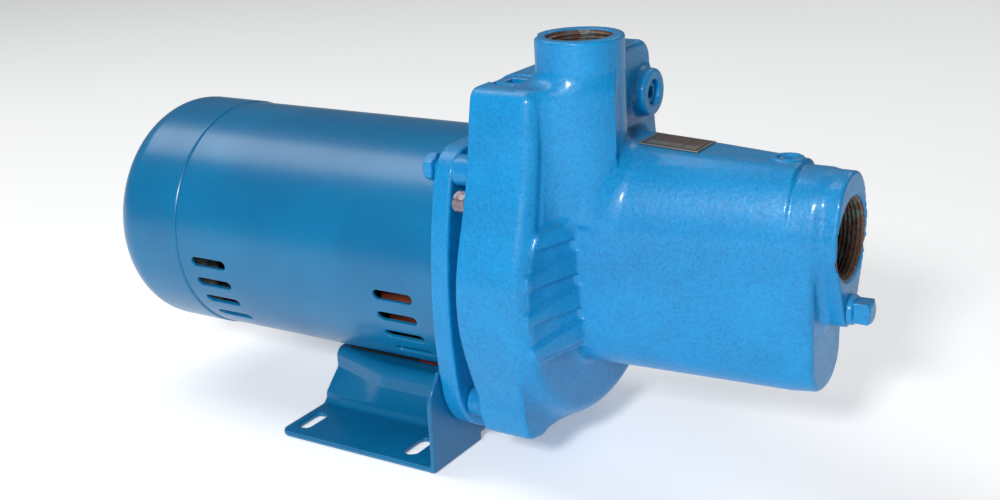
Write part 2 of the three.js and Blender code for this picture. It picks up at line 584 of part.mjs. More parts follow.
const drumCavity = disc(COVER.front - 2, VOLUTE.front - VOLUTE.wall, 77, 48);
const blockCavity = hull(
  [COVER.front + 4, VOLUTE.front - 9].flatMap((x) => [
    circle(x, -50, 82, 8, 12), circle(x, 0, 80, 10, 12), circle(x, -20, 30, 30, 16),
  ].flat()),
);
const jetCavity = hull(jetStation(0, JET.rear - 6, JET.wall), jetStation(2, JET.front - 8, JET.wall));
const cavity = join(
  drumCavity, blockCavity, jetCavity,
  disc(VOLUTE.rear - 8, COVER.front + GAP, COVER.radius + GAP, 48),
  post(NECK.x, NECK.y, 60, NECK.top - 20, NECK.bore, 28),
);

/** Cast chamber about the nozzle and the duct that feeds it from the suction port. */
const nozzleChamber = join(
  hull([CHAMBER.rear, CHAMBER.front].flatMap((x) => [
    circle(x, 0, SUCTION.z, CHAMBER.upper, 28), circle(x, 0, 0, CHAMBER.lower, 24),
  ].flat())),
  disc(CHAMBER.front - 2, JET.front - 3, CHAMBER.upper, 32, 0, SUCTION.z),
);
const chamberVoid = join(
  hull([CHAMBER.rear + CHAMBER.wall, CHAMBER.front - CHAMBER.wall].flatMap((x) => [
    circle(x, 0, SUCTION.z, SUCTION.bore, 28), circle(x, 0, 0, CHAMBER.lower - CHAMBER.wall, 24),
  ].flat())),
  disc(CHAMBER.front - 8, SUCTION.x + 5, SUCTION.bore, 32, 0, SUCTION.z),
);

add('pump_casing', cut(
  join(cut(casingOuter, cavity), nozzleChamber),
  chamberVoid,
  disc(SUCTION.x - SUCTION.depth, SUCTION.x + 5, SUCTION.port, 32, 0, SUCTION.z),
  post(NECK.x, NECK.y, NECK.top - 20, NECK.top + 5, NECK.port, 32),
  disc(CHAMBER.rear - 2, CHAMBER.rear + CHAMBER.wall + 2, 14.5, 28),
  disc(CHAMBER.front - CHAMBER.wall - 2, CHAMBER.front + 2, 9, 24),
  disc(JET.front - 20, SUCTION.x + 5, FRONT_PLUG.thread + GAP, 16, 0, FRONT_PLUG.z),
  post(PRIMING.x, PRIMING.y, 80, PRIMING.top + 1, PRIMING.radius + GAP, 24),
  post(VACUUM.x, VACUUM.y, 60, 90, VACUUM.thread + GAP, 16),
  disc(80, TAP.x + 5, TAP.port - 1.5, 20, TAP.y, TAP.z),
  ...CASING_BOLTS.map(([y, z]) => disc(PLATE.front - 1, 58, 4.9, 12, y, z)),
  disc(VOLUTE.rear - 3, RIM_SCREW.tip + 4, RIM_SCREW.radius + GAP, 12, RIM_SCREW.y, RIM_SCREW.z),
), CAST_BLUE);

CASING_BOLTS.forEach(([y, z], i) => {
  const upper = z > 0;
  const seat = (upper ? PLATE.rear : flangeRear) - GAP;
  const { head, tip, across, radius } = CASING_BOLT;
  add(`casing_bolt_${i + 1}`, bolt(seat - head, seat, tip, across, radius, y, z), upper ? CAST_BLUE : ZINC);
});
const rimSeat = VOLUTE.rear - GAP;
add('rim_screw', bolt(
  rimSeat - RIM_SCREW.head, rimSeat, RIM_SCREW.tip, RIM_SCREW.across, RIM_SCREW.radius,
  RIM_SCREW.y, RIM_SCREW.z,
), ZINC);

// Plugs and label ------------------------------------------------------------------------------------------

add('priming_plug', cut(
  post(PRIMING.x, PRIMING.y, PRIMING.top - 13.6, PRIMING.top, PRIMING.radius, 24),
  block(
    PRIMING.x - PRIMING.socket, PRIMING.x + PRIMING.socket,
    PRIMING.y - PRIMING.socket, PRIMING.y + PRIMING.socket,
    PRIMING.top - 7.6, PRIMING.top + 3,
  ),
), CAST_BLUE);
add('vacuum_tapping_plug', cut(
  post(VACUUM.x, VACUUM.y, VACUUM.top - 9.5, VACUUM.top - 0.7, VACUUM.thread, 16),
  post(VACUUM.x, VACUUM.y, VACUUM.top - 6, VACUUM.top, 3.2, 6),
), CAST_BLUE);
add('pressure_tapping_plug', cut(
  disc(84, TAP.x - 2.4, TAP.port - 1.8, 20, TAP.y, TAP.z),
  disc(90, TAP.x + 2, 3.7, 6, TAP.y, TAP.z),
), CAST_BLUE);
const reach = FRONT_PLUG.square / 2;
add('front_plug', join(
  disc(JET.front - 3, SUCTION.x + 1, FRONT_PLUG.thread, 16, 0, FRONT_PLUG.z),
  disc(SUCTION.x + GAP, SUCTION.x + 3, FRONT_PLUG.collar, 20, 0, FRONT_PLUG.z),
  block(SUCTION.x + 2, FRONT_END, -reach, reach, FRONT_PLUG.z - reach, FRONT_PLUG.z + reach),
), CAST_BLUE);

const topSlope = Math.atan2(JET.tops[0] - JET.tops[1], JET.step - JET.rear);
const labelLevel = JET.tops[0] - (LABEL.x - JET.rear) * Math.tan(topSlope);
add('rating_label', new THREE.BoxGeometry(LABEL.length, LABEL.width, LABEL.thickness)
  .rotateY(topSlope)
  .translate(LABEL.x, LABEL.y, labelLevel + GAP + LABEL.thickness / 2), BARE_LABEL);

// Wet end --------------------------------------------------------------------------------------------------

const slingerProfile = [[8, SHAFT.pumpEnd + GAP], [8, 10], [10, 10.2], [16, 10.2], [16, SHAFT.pumpEnd + GAP]];
add('water_slinger', revolve([...slingerProfile, slingerProfile[0]], 24), RUBBER);
add('seal_seat', ring(24.4, 29, 9.5, 16.2, 28), CERAMIC);
add('seal_head', revolve([
  [29.3, SHAFT.pumpEnd + GAP], [29.3, 13], [31, 13], [31, 14.5], [33.5, 14.5], [33.5, SHAFT.pumpEnd + GAP],
  [29.3, SHAFT.pumpEnd + GAP],
], 28), RUBBER);

/** Helix of the seal spring about the shaft. */
function springPath(x0, x1, radius, turns) {
  const points = Array.from({ length: turns * 10 + 1 }, (_, i) => {
    const a = (2 * Math.PI * i) / 10;
    return new THREE.Vector3(x0 + ((x1 - x0) * i) / (turns * 10), radius * Math.cos(a), radius * Math.sin(a));
  });
  return new THREE.CatmullRomCurve3(points);
}

const wire = new THREE.Shape().absarc(0, 0, 0.6, 0, 2 * Math.PI);
add('seal_spring', new THREE.ExtrudeGeometry(wire, {
  steps: 24, extrudePath: springPath(34.5, 38.6, 10.8, 3), curveSegments: 5,
}), STEEL);

/** One backward-curved vane between the impeller's two shrouds. */
function vane(index) {
  const shape = new THREE.Shape();
  shape.moveTo(14, 0);
  shape.quadraticCurveTo(40, 4, 40, 40);
  shape.lineTo(37, 43);
  shape.quadraticCurveTo(37, 7, 14, 2.6);
  return plate(shape, IMPELLER.rear + 1, IMPELLER.front - 1, 6).rotateX((index * Math.PI) / 3);
}

const vaneDisc = join(...Array.from({ length: 6 }, (_, i) => vane(i)))
  .intersect(solid(ring(IMPELLER.rear + 1, IMPELLER.front - 1, 14, IMPELLER.radius, 40)));
add('impeller', join(
  ring(IMPELLER.rear + GAP, IMPELLER.rear + 2.5, 5.8, IMPELLER.radius, 40),
  ring(IMPELLER.rear + GAP, IMPELLER.rear + 8, 5.8, IMPELLER.hub, 24),
  ring(IMPELLER.front - 2.5, IMPELLER.front, IMPELLER.eye, IMPELLER.radius, 40),
  ring(IMPELLER.front - 1, IMPELLER.front + 3, IMPELLER.eye, 15.5, 28),
  vaneDisc,
), GREY_PLASTIC);

const DIFFUSER = { rear: 36.3, wallRear: 54.2, wallFront: 58, outer: 68, inner: 59, neck: 19.5, neckFront: 74 };
const diffuserScrewSpots = [30, 150, 270].map((degrees) => {
  const a = THREE.MathUtils.degToRad(degrees);
  return [63.5 * Math.cos(a), 63.5 * Math.sin(a)];
});
add('diffuser', cut(
  revolve([
    [DIFFUSER.rear, DIFFUSER.inner], [DIFFUSER.rear, DIFFUSER.outer], [DIFFUSER.wallFront, DIFFUSER.outer],
    [DIFFUSER.wallFront, DIFFUSER.neck], [DIFFUSER.neckFront, DIFFUSER.neck], [DIFFUSER.neckFront, 16.2],
    [DIFFUSER.wallRear, 16.2], [DIFFUSER.wallRear, DIFFUSER.inner], [DIFFUSER.rear, DIFFUSER.inner],
  ], 40),
  ...diffuserScrewSpots.map(([y, z]) => disc(30, 70, 2.3, 10, y, z)),
), GREY_PLASTIC);
diffuserScrewSpots.forEach(([y, z], i) => {
  const screw = join(
    disc(DIFFUSER.wallFront + GAP, DIFFUSER.wallFront + 3, 3.8, 16, y, z),
    disc(DIFFUSER.rear + 0.5, DIFFUSER.wallFront + 1, 2, 10, y, z),
  );
  add(`diffuser_screw_${i + 1}`, screw, ZINC);
});

add('casing_oring', ring(29.5, 32.5, 75.3, COVER.radius - 0.1, 48), RUBBER);
add('venturi_tube', revolve([
  [54.8, 12.6], [54.8, 15.9], [72, 15.9], [78, 12], [146, 12], [146, 9.5], [140, 7.5], [124, 4.5], [112, 4.5],
  [54.8, 12.6],
], 28), GREY_PLASTIC);
add('venturi_oring', ring(134, 137, 12.3, 14.2, 28), RUBBER);
add('nozzle', cut(join(
  revolve([
    [150, 3.2], [150, 5], [158, 8], [171, 8], [171, 8.7], [178, 8.7], [178, 6], [164, 6], [150, 3.2],
  ], 24),
  cut(hexagon(CHAMBER.front + GAP, CHAMBER.front + 5, 17, 0, 0), disc(170, 190, 6, 24)),
)), BRASS);

const object = new THREE.Group();
pump.position.set(-(REAR_END - CAP_SCREW.head + FRONT_END) / 2, 0, AXIS_HEIGHT);
object.add(pump);

export default object;
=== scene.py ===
"""Shallow well jet pump: the finished castings, sheet metal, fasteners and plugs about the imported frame.

Sizes are millimetres about the shaft axis: x runs along the shaft towards the suction port, y to the far
side and z up, with the datum of x at the joint between motor and adapter plate. Datum turns them into metres.
"""

from __future__ import annotations

import json
import logging
import math
from dataclasses import dataclass
from enum import Enum
from typing import Callable, Iterable, Sequence

import bmesh
import bpy
import numpy as np
from mathutils import Matrix, Vector

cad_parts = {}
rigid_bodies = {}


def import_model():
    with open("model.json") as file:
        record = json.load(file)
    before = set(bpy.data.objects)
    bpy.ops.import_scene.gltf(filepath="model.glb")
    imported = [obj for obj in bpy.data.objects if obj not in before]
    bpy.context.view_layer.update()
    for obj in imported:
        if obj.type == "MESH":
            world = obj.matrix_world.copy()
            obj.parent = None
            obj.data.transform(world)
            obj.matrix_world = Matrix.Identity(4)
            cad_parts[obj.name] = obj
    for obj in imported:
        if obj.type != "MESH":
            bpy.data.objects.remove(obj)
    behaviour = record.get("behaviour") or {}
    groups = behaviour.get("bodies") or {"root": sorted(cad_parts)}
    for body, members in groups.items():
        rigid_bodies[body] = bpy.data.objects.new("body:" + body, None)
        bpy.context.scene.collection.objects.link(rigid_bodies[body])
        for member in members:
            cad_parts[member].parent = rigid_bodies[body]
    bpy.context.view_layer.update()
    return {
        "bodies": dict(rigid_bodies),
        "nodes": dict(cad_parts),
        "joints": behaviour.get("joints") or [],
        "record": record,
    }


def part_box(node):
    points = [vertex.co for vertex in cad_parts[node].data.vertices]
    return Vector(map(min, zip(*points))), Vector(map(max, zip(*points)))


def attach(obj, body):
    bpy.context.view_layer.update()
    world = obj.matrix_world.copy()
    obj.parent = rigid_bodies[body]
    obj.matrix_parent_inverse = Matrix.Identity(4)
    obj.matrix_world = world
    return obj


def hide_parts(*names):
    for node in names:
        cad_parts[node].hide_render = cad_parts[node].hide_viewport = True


Array = np.ndarray
Colour = tuple[float, float, float]
Places = tuple[tuple[float, float], ...]
LOG = logging.getLogger("jet_pump")
MM = 0.001
SHELL_FRONT = 5.6
SHAFT = (0.0, 0.0)
CREASE = math.radians(35.0)
CASING_BOLTS = ((-57.0, 65.0), (57.0, 65.0), (-56.0, -70.0), (56.0, -70.0))


# Frame and mesh helpers -------------------------------------------------------------------------------------


@dataclass(frozen=True)
class Datum:
    """Place of the shaft datum in the model, in metres."""

    x: float
    z: float

    @classmethod
    def from_frame(cls) -> Datum:
        """Reads the datum off the motor shell, which is round about the shaft."""
        low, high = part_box("motor_shell")
        return cls(high.x - SHELL_FRONT * MM, (low.z + high.z) / 2)

    def place(self, points: Array) -> Array:
        """Millimetres about the shaft to metres in the model."""
        return np.asarray(points, float) * MM + (self.x, 0.0, self.z)

    def local(self, corner: Vector) -> Array:
        """A corner in the model, in metres, to millimetres about the shaft."""
        return (np.array(corner) - (self.x, 0.0, self.z)) / MM


class Axis(Enum):
    """Direction that a turned piece points in, as the order of its height, first and second radial axes."""

    X = (0, 1, 2)
    Y = (1, 2, 0)
    Z = (2, 0, 1)


@dataclass
class Skin:
    """Points, four-sided faces and, where they are known exactly, the normals of one closed surface."""

    points: Array
    faces: Array
    normals: Array | None = None

    @classmethod
    def grid(cls, points: Array, close_u: bool = False, close_v: bool = False) -> Skin:
        """Faces over a grid of points of shape (u, v, 3), each way either open or closed on itself."""
        rows, columns = points.shape[:2]
        index = np.arange(rows * columns).reshape(rows, columns)
        if close_u:
            index = np.concatenate([index, index[:1]], axis=0)
        if close_v:
            index = np.concatenate([index, index[:, :1]], axis=1)
        corners = (index[:-1, :-1], index[1:, :-1], index[1:, 1:], index[:-1, 1:])
        return cls(points.reshape(-1, 3), np.stack(corners, axis=-1).reshape(-1, 4))

    @classmethod
    def joined(cls, skins: Iterable[Skin]) -> Skin:
        """Several grids as one surface; their shared borders are welded when the mesh is made."""
        points, faces, offset = [], [], 0
        for skin in skins:
            points.append(skin.points)
            faces.append(skin.faces + offset)
            offset += len(skin.points)
        return cls(np.concatenate(points), np.concatenate(faces))


def make_piece(name: str, skin: Skin, datum: Datum) -> bpy.types.Object:
    """Puts a surface into a mesh object, welded, closed and facing outwards.

    Args:
        name: the piece's name.
        skin: its surface in millimetres about the shaft.
        datum: where the shaft datum lies.

    Returns:
        The object, at the origin, with its place in its mesh.
    """
    mesh = bpy.data.meshes.new(name)
    count = len(skin.faces)
    mesh.vertices.add(len(skin.points))
    mesh.vertices.foreach_set("co", datum.place(skin.points).astype(np.float32).ravel())
    mesh.loops.add(4 * count)
    mesh.loops.foreach_set("vertex_index", skin.faces.astype(np.int32).ravel())
    mesh.polygons.add(count)
    mesh.polygons.foreach_set("loop_start", np.arange(0, 4 * count, 4, dtype=np.int32))
    mesh.update(calc_edges=True)
    if skin.normals is None:
        work = bmesh.new()
        work.from_mesh(mesh)
        bmesh.ops.remove_doubles(work, verts=work.verts, dist=2e-6)
        bmesh.ops.dissolve_degenerate(work, edges=work.edges, dist=1e-7)
        bmesh.ops.recalc_face_normals(work, faces=work.faces)
        if work.calc_volume(signed=True) < 0:
            bmesh.ops.reverse_faces(work, faces=work.faces)
        work.to_mesh(mesh)
        work.free()
    mesh.shade_smooth()
    if skin.normals is None:
        mesh.set_sharp_from_angle(angle=CREASE)
    else:
        mesh.normals_split_custom_set_from_vertices(skin.normals.tolist())
    piece = bpy.data.objects.new(name, mesh)
    bpy.context.scene.collection.objects.link(piece)
    return piece


# Turned pieces ----------------------------------------------------------------------------------------------


@dataclass(frozen=True)
class Turn:
    """One ring of a turned piece: height, radius, and for a polygon its number of flats and the round trim.

    With flats, the radius is the distance to a flat, and trim is the round stock that the corners are cut to.
    """

    height: float
    radius: float
    flats: int = 0
    trim: float = 1e3

    def reach(self, angle: Array) -> Array:
        """Radius at each angle: constant, or a polygon's 1/cosine wave held under the trim radius."""
        if not self.flats:
            return np.full_like(angle, self.radius)
        part = 2 * np.pi / self.flats
        off = (angle + part / 2) % part - part / 2
        return np.minimum(self.radius / np.cos(off), self.trim)


def turned(rings: Sequence[Turn], axis: Axis, centre: Sequence[float], steps: int = 96) -> Skin:
    """Carries a profile of rings round an axis through centre; rings of no radius close the ends."""
    angle = np.arange(steps) * 2 * np.pi / steps
    height, first, second = axis.value
    points = np.zeros((len(rings), steps, 3))
    for row, ring in enumerate(rings):
        reach = ring.reach(angle)
        points[row, :, height] = ring.height
        points[row, :, first] = centre[first] + reach * np.cos(angle)
        points[row, :, second] = centre[second] + reach * np.sin(angle)
    closed = rings[0] == rings[-1]
    return Skin.grid(points[:-1] if closed else points, close_u=closed, close_v=True)


def chamfered_flats(face: float, inward: float, across: float, flats: int, depth: float) -> list[Turn]:
    """Rings of a hexagon or square head from the middle of its face, over the round chamfer, to its sides.

    Args:
        face: height of the head's face.
        inward: +1 or -1, the way from the face into the head.
        across: size across the flats.
        flats: number of flats.
        depth: how far the chamfer reaches down the corners.

    Returns:
        Rings whose trim radius grows along the chamfer from just inside the flats to the corners.
    """
    flat = across / 2
    corner = flat / math.cos(math.pi / flats)
    start = 0.93 * flat
    rings = [Turn(face, 0.0), Turn(face, 0.6 * flat), Turn(face, start - 0.3)]
    for part in np.linspace(0.0, 1.0, 7):
        trim = start + part * (0.985 * corner - start)
        rings.append(Turn(face + inward * (0.12 + part * depth), flat, flats, trim))
    return rings


def hex_bolt(face: float, seat: float, tip: float, across: float, shank: float) -> list[Turn]:
    """Rings of a hexagon bolt that points along its axis from face to tip."""
    flat = across / 2
    rings = chamfered_flats(face, 1.0, across, 6, 1.3)
    rings += [
        Turn(seat - 0.5, flat, 6, 1.135 * flat), Turn(seat - 0.5, 0.96 * flat), Turn(seat, 0.96 * flat),
        Turn(seat, shank), Turn(tip - 0.7, shank), Turn(tip, shank - 0.7), Turn(tip, 0.0),
    ]
    return rings


def socket_plug(
    face: float, floor: float, tail: float, radius: float, socket: float, flats: int,
) -> list[Turn]:
    """Rings of a pipe plug with a polygon socket in its face; tail is its inner end."""
    inward = math.copysign(1.0, tail - face)
    return [
        Turn(floor, 0.0), Turn(floor, socket - 0.4, flats), Turn(floor - 0.4 * inward, socket, flats),
        Turn(face + 0.4 * inward, socket, flats), Turn(face, socket + 0.5, flats),
        Turn(face, radius - 0.8), Turn(face + 0.25 * inward, radius - 0.25),
        Turn(face + 0.9 * inward, radius), Turn(tail, radius), Turn(tail, 0.0),
    ]


@dataclass(frozen=True)
class PipeThread:
    """Tapered pipe thread in a port, made as the layer of metal that it is cut in."""

    radius: float
    length: float
    pitch: float = 2.2
    depth: float = 1.25
    backing: float = 1.1
    taper: float = 1 / 32
    sunk: float = 0.25

    def skin(self, axis: Axis, centre: Sequence[float], mouth: float, inward: float) -> Skin:
        """Grid over the turn angle and the way down the port, closed behind by a plain tube.

        The radius falls with the taper of one in sixteen on the diameter, and rises and falls by the thread
        depth as a rounded triangle wave of the distance over the pitch less the angle over a full turn.
        """
        steps, samples = 120, int(10 * self.length / self.pitch)
        angle = np.arange(steps)[None, :] * 2 * np.pi / steps
        down = np.linspace(0.0, self.length, samples)[:, None]
        phase = (down / self.pitch - angle / (2 * np.pi)) % 1.0
        wave = np.clip(1.15 * (1 - np.abs(2 * phase - 1)), 0.06, 0.98)
        fade = np.clip(down / self.pitch, 0.0, 1.0) * np.clip((self.length - down) / self.pitch, 0.0, 1.0)
        reach = self.radius - down * self.taper - self.depth * (wave * fade)
        outer = np.full((2, steps), self.radius + self.backing)
        ends = np.repeat([[self.length], [0.0]], steps, 1)
        heights = np.concatenate([np.repeat(down, steps, 1), ends])
        reach = np.concatenate([reach + self.depth * self.sunk, outer])
        order = axis.value
        points = np.zeros((*reach.shape, 3))
        points[..., order[0]] = mouth + inward * heights
        points[..., order[1]] = centre[order[1]] + reach * np.cos(angle)
        points[..., order[2]] = centre[order[2]] + reach * np.sin(angle)
        return Skin.grid(points, close_u=True, close_v=True)


# Pierced sheet metal ----------------------------------------------------------------------------------------


@dataclass(frozen=True)
class Opening:
    """Oblong opening in a rolled sheet: its cell in the sheet's layout, its middle and its size."""

    column: int
    row: int
    along: float
    angle: float
    length: float
    width: float


@dataclass
class RolledSheet:
    """Sheet rolled about the shaft along a profile, with openings that have rounded lips.

    profile holds rows of x, radius and the outward normal's two parts against the way along the profile.
    The sheet is laid out in cells between breaks along the profile and round the shaft.
    """

    profile: Callable[[Array], tuple[Array, Array, Array, Array]]
    wall: float
    breaks: Sequence[float]
    cuts: Sequence[int]
    angles: Sequence[float]
    arcs: Sequence[int]
    openings: Sequence[Opening] = ()
    closed_end: bool = False
    lip: float = 0.55

    def at(self, along: Array, angle: Array, depth: Array | float) -> Array:
        """Point at a way along the profile, an angle about the shaft and a depth below the outer face."""
        x, radius, nx, nr = self.profile(along)
        reach = radius - nr * depth
        return np.stack([x - nx * depth, reach * np.cos(angle), reach * np.sin(angle)], axis=-1)

    def plain(self, column: int, row: int) -> list[Skin]:
        """Outer and inner face of one cell as two grids."""
        along = np.linspace(self.breaks[column], self.breaks[column + 1], self.cuts[column] + 1)[:, None]
        angle = np.linspace(self.angles[row], self.angles[row + 1], self.arcs[row] + 1)[None, :]
        along, angle = np.broadcast_arrays(along, angle)
        return [Skin.grid(self.at(along, angle, 0.0)), Skin.grid(self.at(along, angle, self.wall)[:, ::-1])]

    def pierced(self, opening: Opening) -> Skin:
        """One cell with its opening: rings from the cell's border in to the opening, through it and back.

        Each border point is paired with the nearest point of the oblong, which is a radius about the nearest
        point of its middle line; a ring lies a share of the way between the two, at its own depth.
        """
        column, row = opening.column, opening.row
        u = np.linspace(self.breaks[column], self.breaks[column + 1], self.cuts[column] + 1)
        v = np.linspace(self.angles[row], self.angles[row + 1], self.arcs[row] + 1)
        border_u = np.concatenate([u[:-1], np.full(len(v) - 1, u[-1]), u[:0:-1], np.full(len(v) - 1, u[0])])
        border_v = np.concatenate([np.full(len(u) - 1, v[0]), v[:-1], np.full(len(u) - 1, v[-1]), v[:0:-1]])
        radius = self.profile(np.array([opening.along]))[1][0]
        round_end = opening.width / 2
        reach = opening.length / 2 - round_end
        off_u = border_u - opening.along
        off_v = (border_v - opening.angle) * radius
        middle = np.clip(off_u, -reach, reach)
        gap = np.hypot(off_u - middle, off_v)
        edge_u = opening.along + middle + (off_u - middle) / gap * round_end
        edge_v = opening.angle + off_v / gap * round_end / radius
        lip = self.lip
        inmost = 0.4
        bend = [(lip * (1 - math.sin(a)), lip * (1 - math.cos(a))) for a in np.linspace(0, math.pi / 2, 5)]
        way_u, way_v = border_u - edge_u, border_v - edge_v
        span = np.hypot(way_u, way_v * radius)
        shares = [(share, 0.0) for share in (1.0, 0.66, inmost)]
        for back, depth in bend + [(0.0, self.wall - 0.05)]:
            shares.append((np.minimum(back / span, inmost), depth))
        rings = [self.at(edge_u + share * way_u, edge_v + share * way_v, depth) for share, depth in shares]
        rings.append(self.at(border_u, border_v, self.wall))
        return Skin.grid(np.stack(rings), close_v=True)

    def skin(self) -> Skin:
        """The whole sheet: every cell, and the rims that join its two faces."""
        pierced = {(o.column, o.row): o for o in self.openings}
        skins: list[Skin] = []
        for column in range(len(self.breaks) - 1):
            for row in range(len(self.angles) - 1):
                opening = pierced.get((column, row))
                skins += [self.pierced(opening)] if opening else self.plain(column, row)
        turn = np.concatenate([np.linspace(a, b, n + 1)[:-1] for a, b, n in
                               zip(self.angles[:-1], self.angles[1:], self.arcs)])
        for end in (self.breaks[:1] if self.closed_end else (self.breaks[0], self.breaks[-1])):
            along = np.full_like(turn, end)
            skins.append(Skin.grid(np.stack([self.at(along, turn, 0.0), self.at(along, turn, self.wall)]),
                                   close_v=True))
        return Skin.joined(skins)


# Cast and folded pieces -------------------------------------------------------------------------------------


def blend_join(a: Array, b: Array, radius: float) -> Array:
    """Distance to two bodies together, with a round fillet of the given radius where they meet."""
    bend = np.hypot(np.maximum(radius - a, 0), np.maximum(radius - b, 0))
    return np.maximum(radius, np.minimum(a, b)) - bend


def blend_meet(a: Array, b: Array, radius: float) -> Array:
    """Distance to what two bodies share, with a round edge of the given radius where their faces meet."""
    bend = np.hypot(np.maximum(radius + a, 0), np.maximum(radius + b, 0))
    return np.minimum(-radius, np.maximum(a, b)) + bend


def slab(v: Array, low: float, high: float) -> Array:
    """Distance to the layer between two levels."""
    return np.maximum(low - v, v - high)


def drum(u: Array, v: Array, centre: Sequence[float], radius: Array | float) -> Array:
    """Distance to an endless round bar about a centre in the plane of u and v."""
    return np.hypot(u - centre[0], v - centre[1]) - radius


def bar(along: Array, low: float, high: float, side: Array, edge: float) -> Array:
    """Distance to a bar with a given side distance, cut off at two levels with a round edge."""
    return blend_meet(side, slab(along, low, high), edge)


def tapered(
    u: Array, v: Array, a: Sequence[float], b: Sequence[float], ra: Array | float, rb: float,
) -> Array:
    """Distance to the outline round two circles and their common tangents.

    The plane is turned so that the circles' middle line is upright and is folded about it; a point then
    belongs to the first circle, to the tangent or to the second circle by its place against the tangent.
    """
    wide, high = b[0] - a[0], b[1] - a[1]
    square = wide * wide + high * high
    across = np.abs((u - a[0]) * high - (v - a[1]) * wide) / square
    up = ((u - a[0]) * wide + (v - a[1]) * high) / square
    slope = ra - rb
    lean = np.sqrt(square - slope * slope)
    side = lean * up - slope * across
    near = across * across + up * up
    first = np.sqrt(square * near) - ra
    last = np.sqrt(square * np.maximum(near + 1 - 2 * up, 0)) - rb
    flank = lean * across + slope * up - ra
    return np.where(side < 0, first, np.where(side > lean, last, flank))


@dataclass(frozen=True)
class Mould:
    """Turns a distance field into an even mesh of four-sided faces."""

    step: float
    block: int = 5
    passes: int = 3

    def skin(self, distance: Callable[[Array], Array], low: Sequence[float], high: Sequence[float]) -> Skin:
        """Skin of the body where the distance is under nought.

        The field is read on a grid, only in blocks that the surface can reach. Each crossed grid cell gets
        one point, the mean of the crossings on its edges, and each crossed grid edge gets a face between the
        four cells about it. The points are evened out among their neighbours and slid along the field's
        gradient on to the surface, a few times over.
        """
        low = np.asarray(low, float)
        values = self.read(distance, low, np.asarray(high, float))
        points, faces = self.weave(values)
        points = low + points * self.step
        for turn in range(self.passes + 1):
            if turn:
                points = self.even(points, faces)
            for _ in range(2):
                reading, gradient = self.slope(distance, points)
                square = np.maximum((gradient ** 2).sum(1), 0.2)
                move = gradient * (reading / square)[:, None]
                length = np.linalg.norm(move, axis=1, keepdims=True)
                points = points - move * np.minimum(1.0, 0.5 * self.step / np.maximum(length, 1e-9))
        _, gradient = self.slope(distance, points)
        return Skin(points, faces, gradient / np.linalg.norm(gradient, axis=1, keepdims=True))

    def read(self, distance: Callable[[Array], Array], low: Array, high: Array) -> Array:
        """Field values on the grid, exact near the surface and from each block's middle elsewhere."""
        span = self.step * self.block
        blocks = np.ceil((high - low) / span).astype(int)
        axes = [low[k] + span * (np.arange(blocks[k]) + 0.5) - self.step / 2 for k in range(3)]
        middle = np.stack(np.meshgrid(*axes, indexing="ij"), axis=-1)
        coarse = distance(middle)
        close = np.abs(coarse) < 1.5 * span
        values, near = coarse, close
        for k in range(3):
            values = np.repeat(values, self.block, axis=k)
            near = np.repeat(near, self.block, axis=k)
        spots = np.argwhere(near)
        values[near] = distance(low + spots * self.step)
        return values

    @staticmethod
    def weave(values: Array) -> tuple[Array, Array]:
        """Cell points and the faces between them, in grid steps."""
        inside = values < 0
        cells = tuple(n - 1 for n in values.shape)
        total = np.zeros((*cells, 3))
        count = np.zeros(cells)
        crossings = []
        for k in range(3):
            a, b = (k + 1) % 3, (k + 2) % 3
            low = [slice(None)] * 3
            high = [slice(None)] * 3
            low[k], high[k] = slice(0, -1), slice(1, None)
            first, second = values[tuple(low)], values[tuple(high)]
            crossed = (first < 0) != (second < 0)
            spots = np.argwhere(crossed)
            share = first[crossed] / (first[crossed] - second[crossed])
            crossings.append((spots, inside[tuple(low)][crossed]))
            for da in (0, -1):
                for db in (0, -1):
                    cell = spots.copy()
                    cell[:, a] += da
                    cell[:, b] += db
                    fits = ((cell >= 0) & (cell < cells)).all(1)
                    spot = spots[fits].astype(float)
                    spot[:, k] += share[fits]
                    where = tuple(cell[fits].T)
                    np.add.at(total, where, spot)
                    np.add.at(count, where, 1)
        active = count > 0
        number = np.full(cells, -1)
        number[active] = np.arange(active.sum())
        faces = []
        for k, (spots, outward) in enumerate(crossings):
            a, b = (k + 1) % 3, (k + 2) % 3
            corners = []
            for da, db in ((-1, -1), (0, -1), (0, 0), (-1, 0)):
                cell = spots.copy()
                cell[:, a] += da
                cell[:, b] += db
                corners.append(number[tuple(cell.T)])
            face = np.stack(corners, axis=1)
            face[~outward] = face[~outward][:, ::-1]
            faces.append(face)
        return total[active] / count[active][:, None], np.concatenate(faces)

    @staticmethod
    def even(points: Array, faces: Array) -> Array:
        """Each point moved half way to the mean of the points that it shares an edge with."""
        start = faces.ravel()
        end = np.roll(faces, -1, axis=1).ravel()
        count = np.bincount(start, minlength=len(points))[:, None]
        mean = np.stack([np.bincount(start, points[end, k], len(points)) for k in range(3)], axis=1)
        return points + 0.5 * (mean / np.maximum(count, 1) - points)

    @staticmethod
    def slope(distance: Callable[[Array], Array], points: Array) -> tuple[Array, Array]:
        """Field value and gradient at each point, by small steps each way."""
        small = 0.05
        nudges = small * np.eye(3)
        gradient = [(distance(points + n) - distance(points - n)) / (2 * small) for n in nudges]
        return distance(points), np.stack(gradient, axis=1)


# Shader writing ---------------------------------------------------------------------------------------------


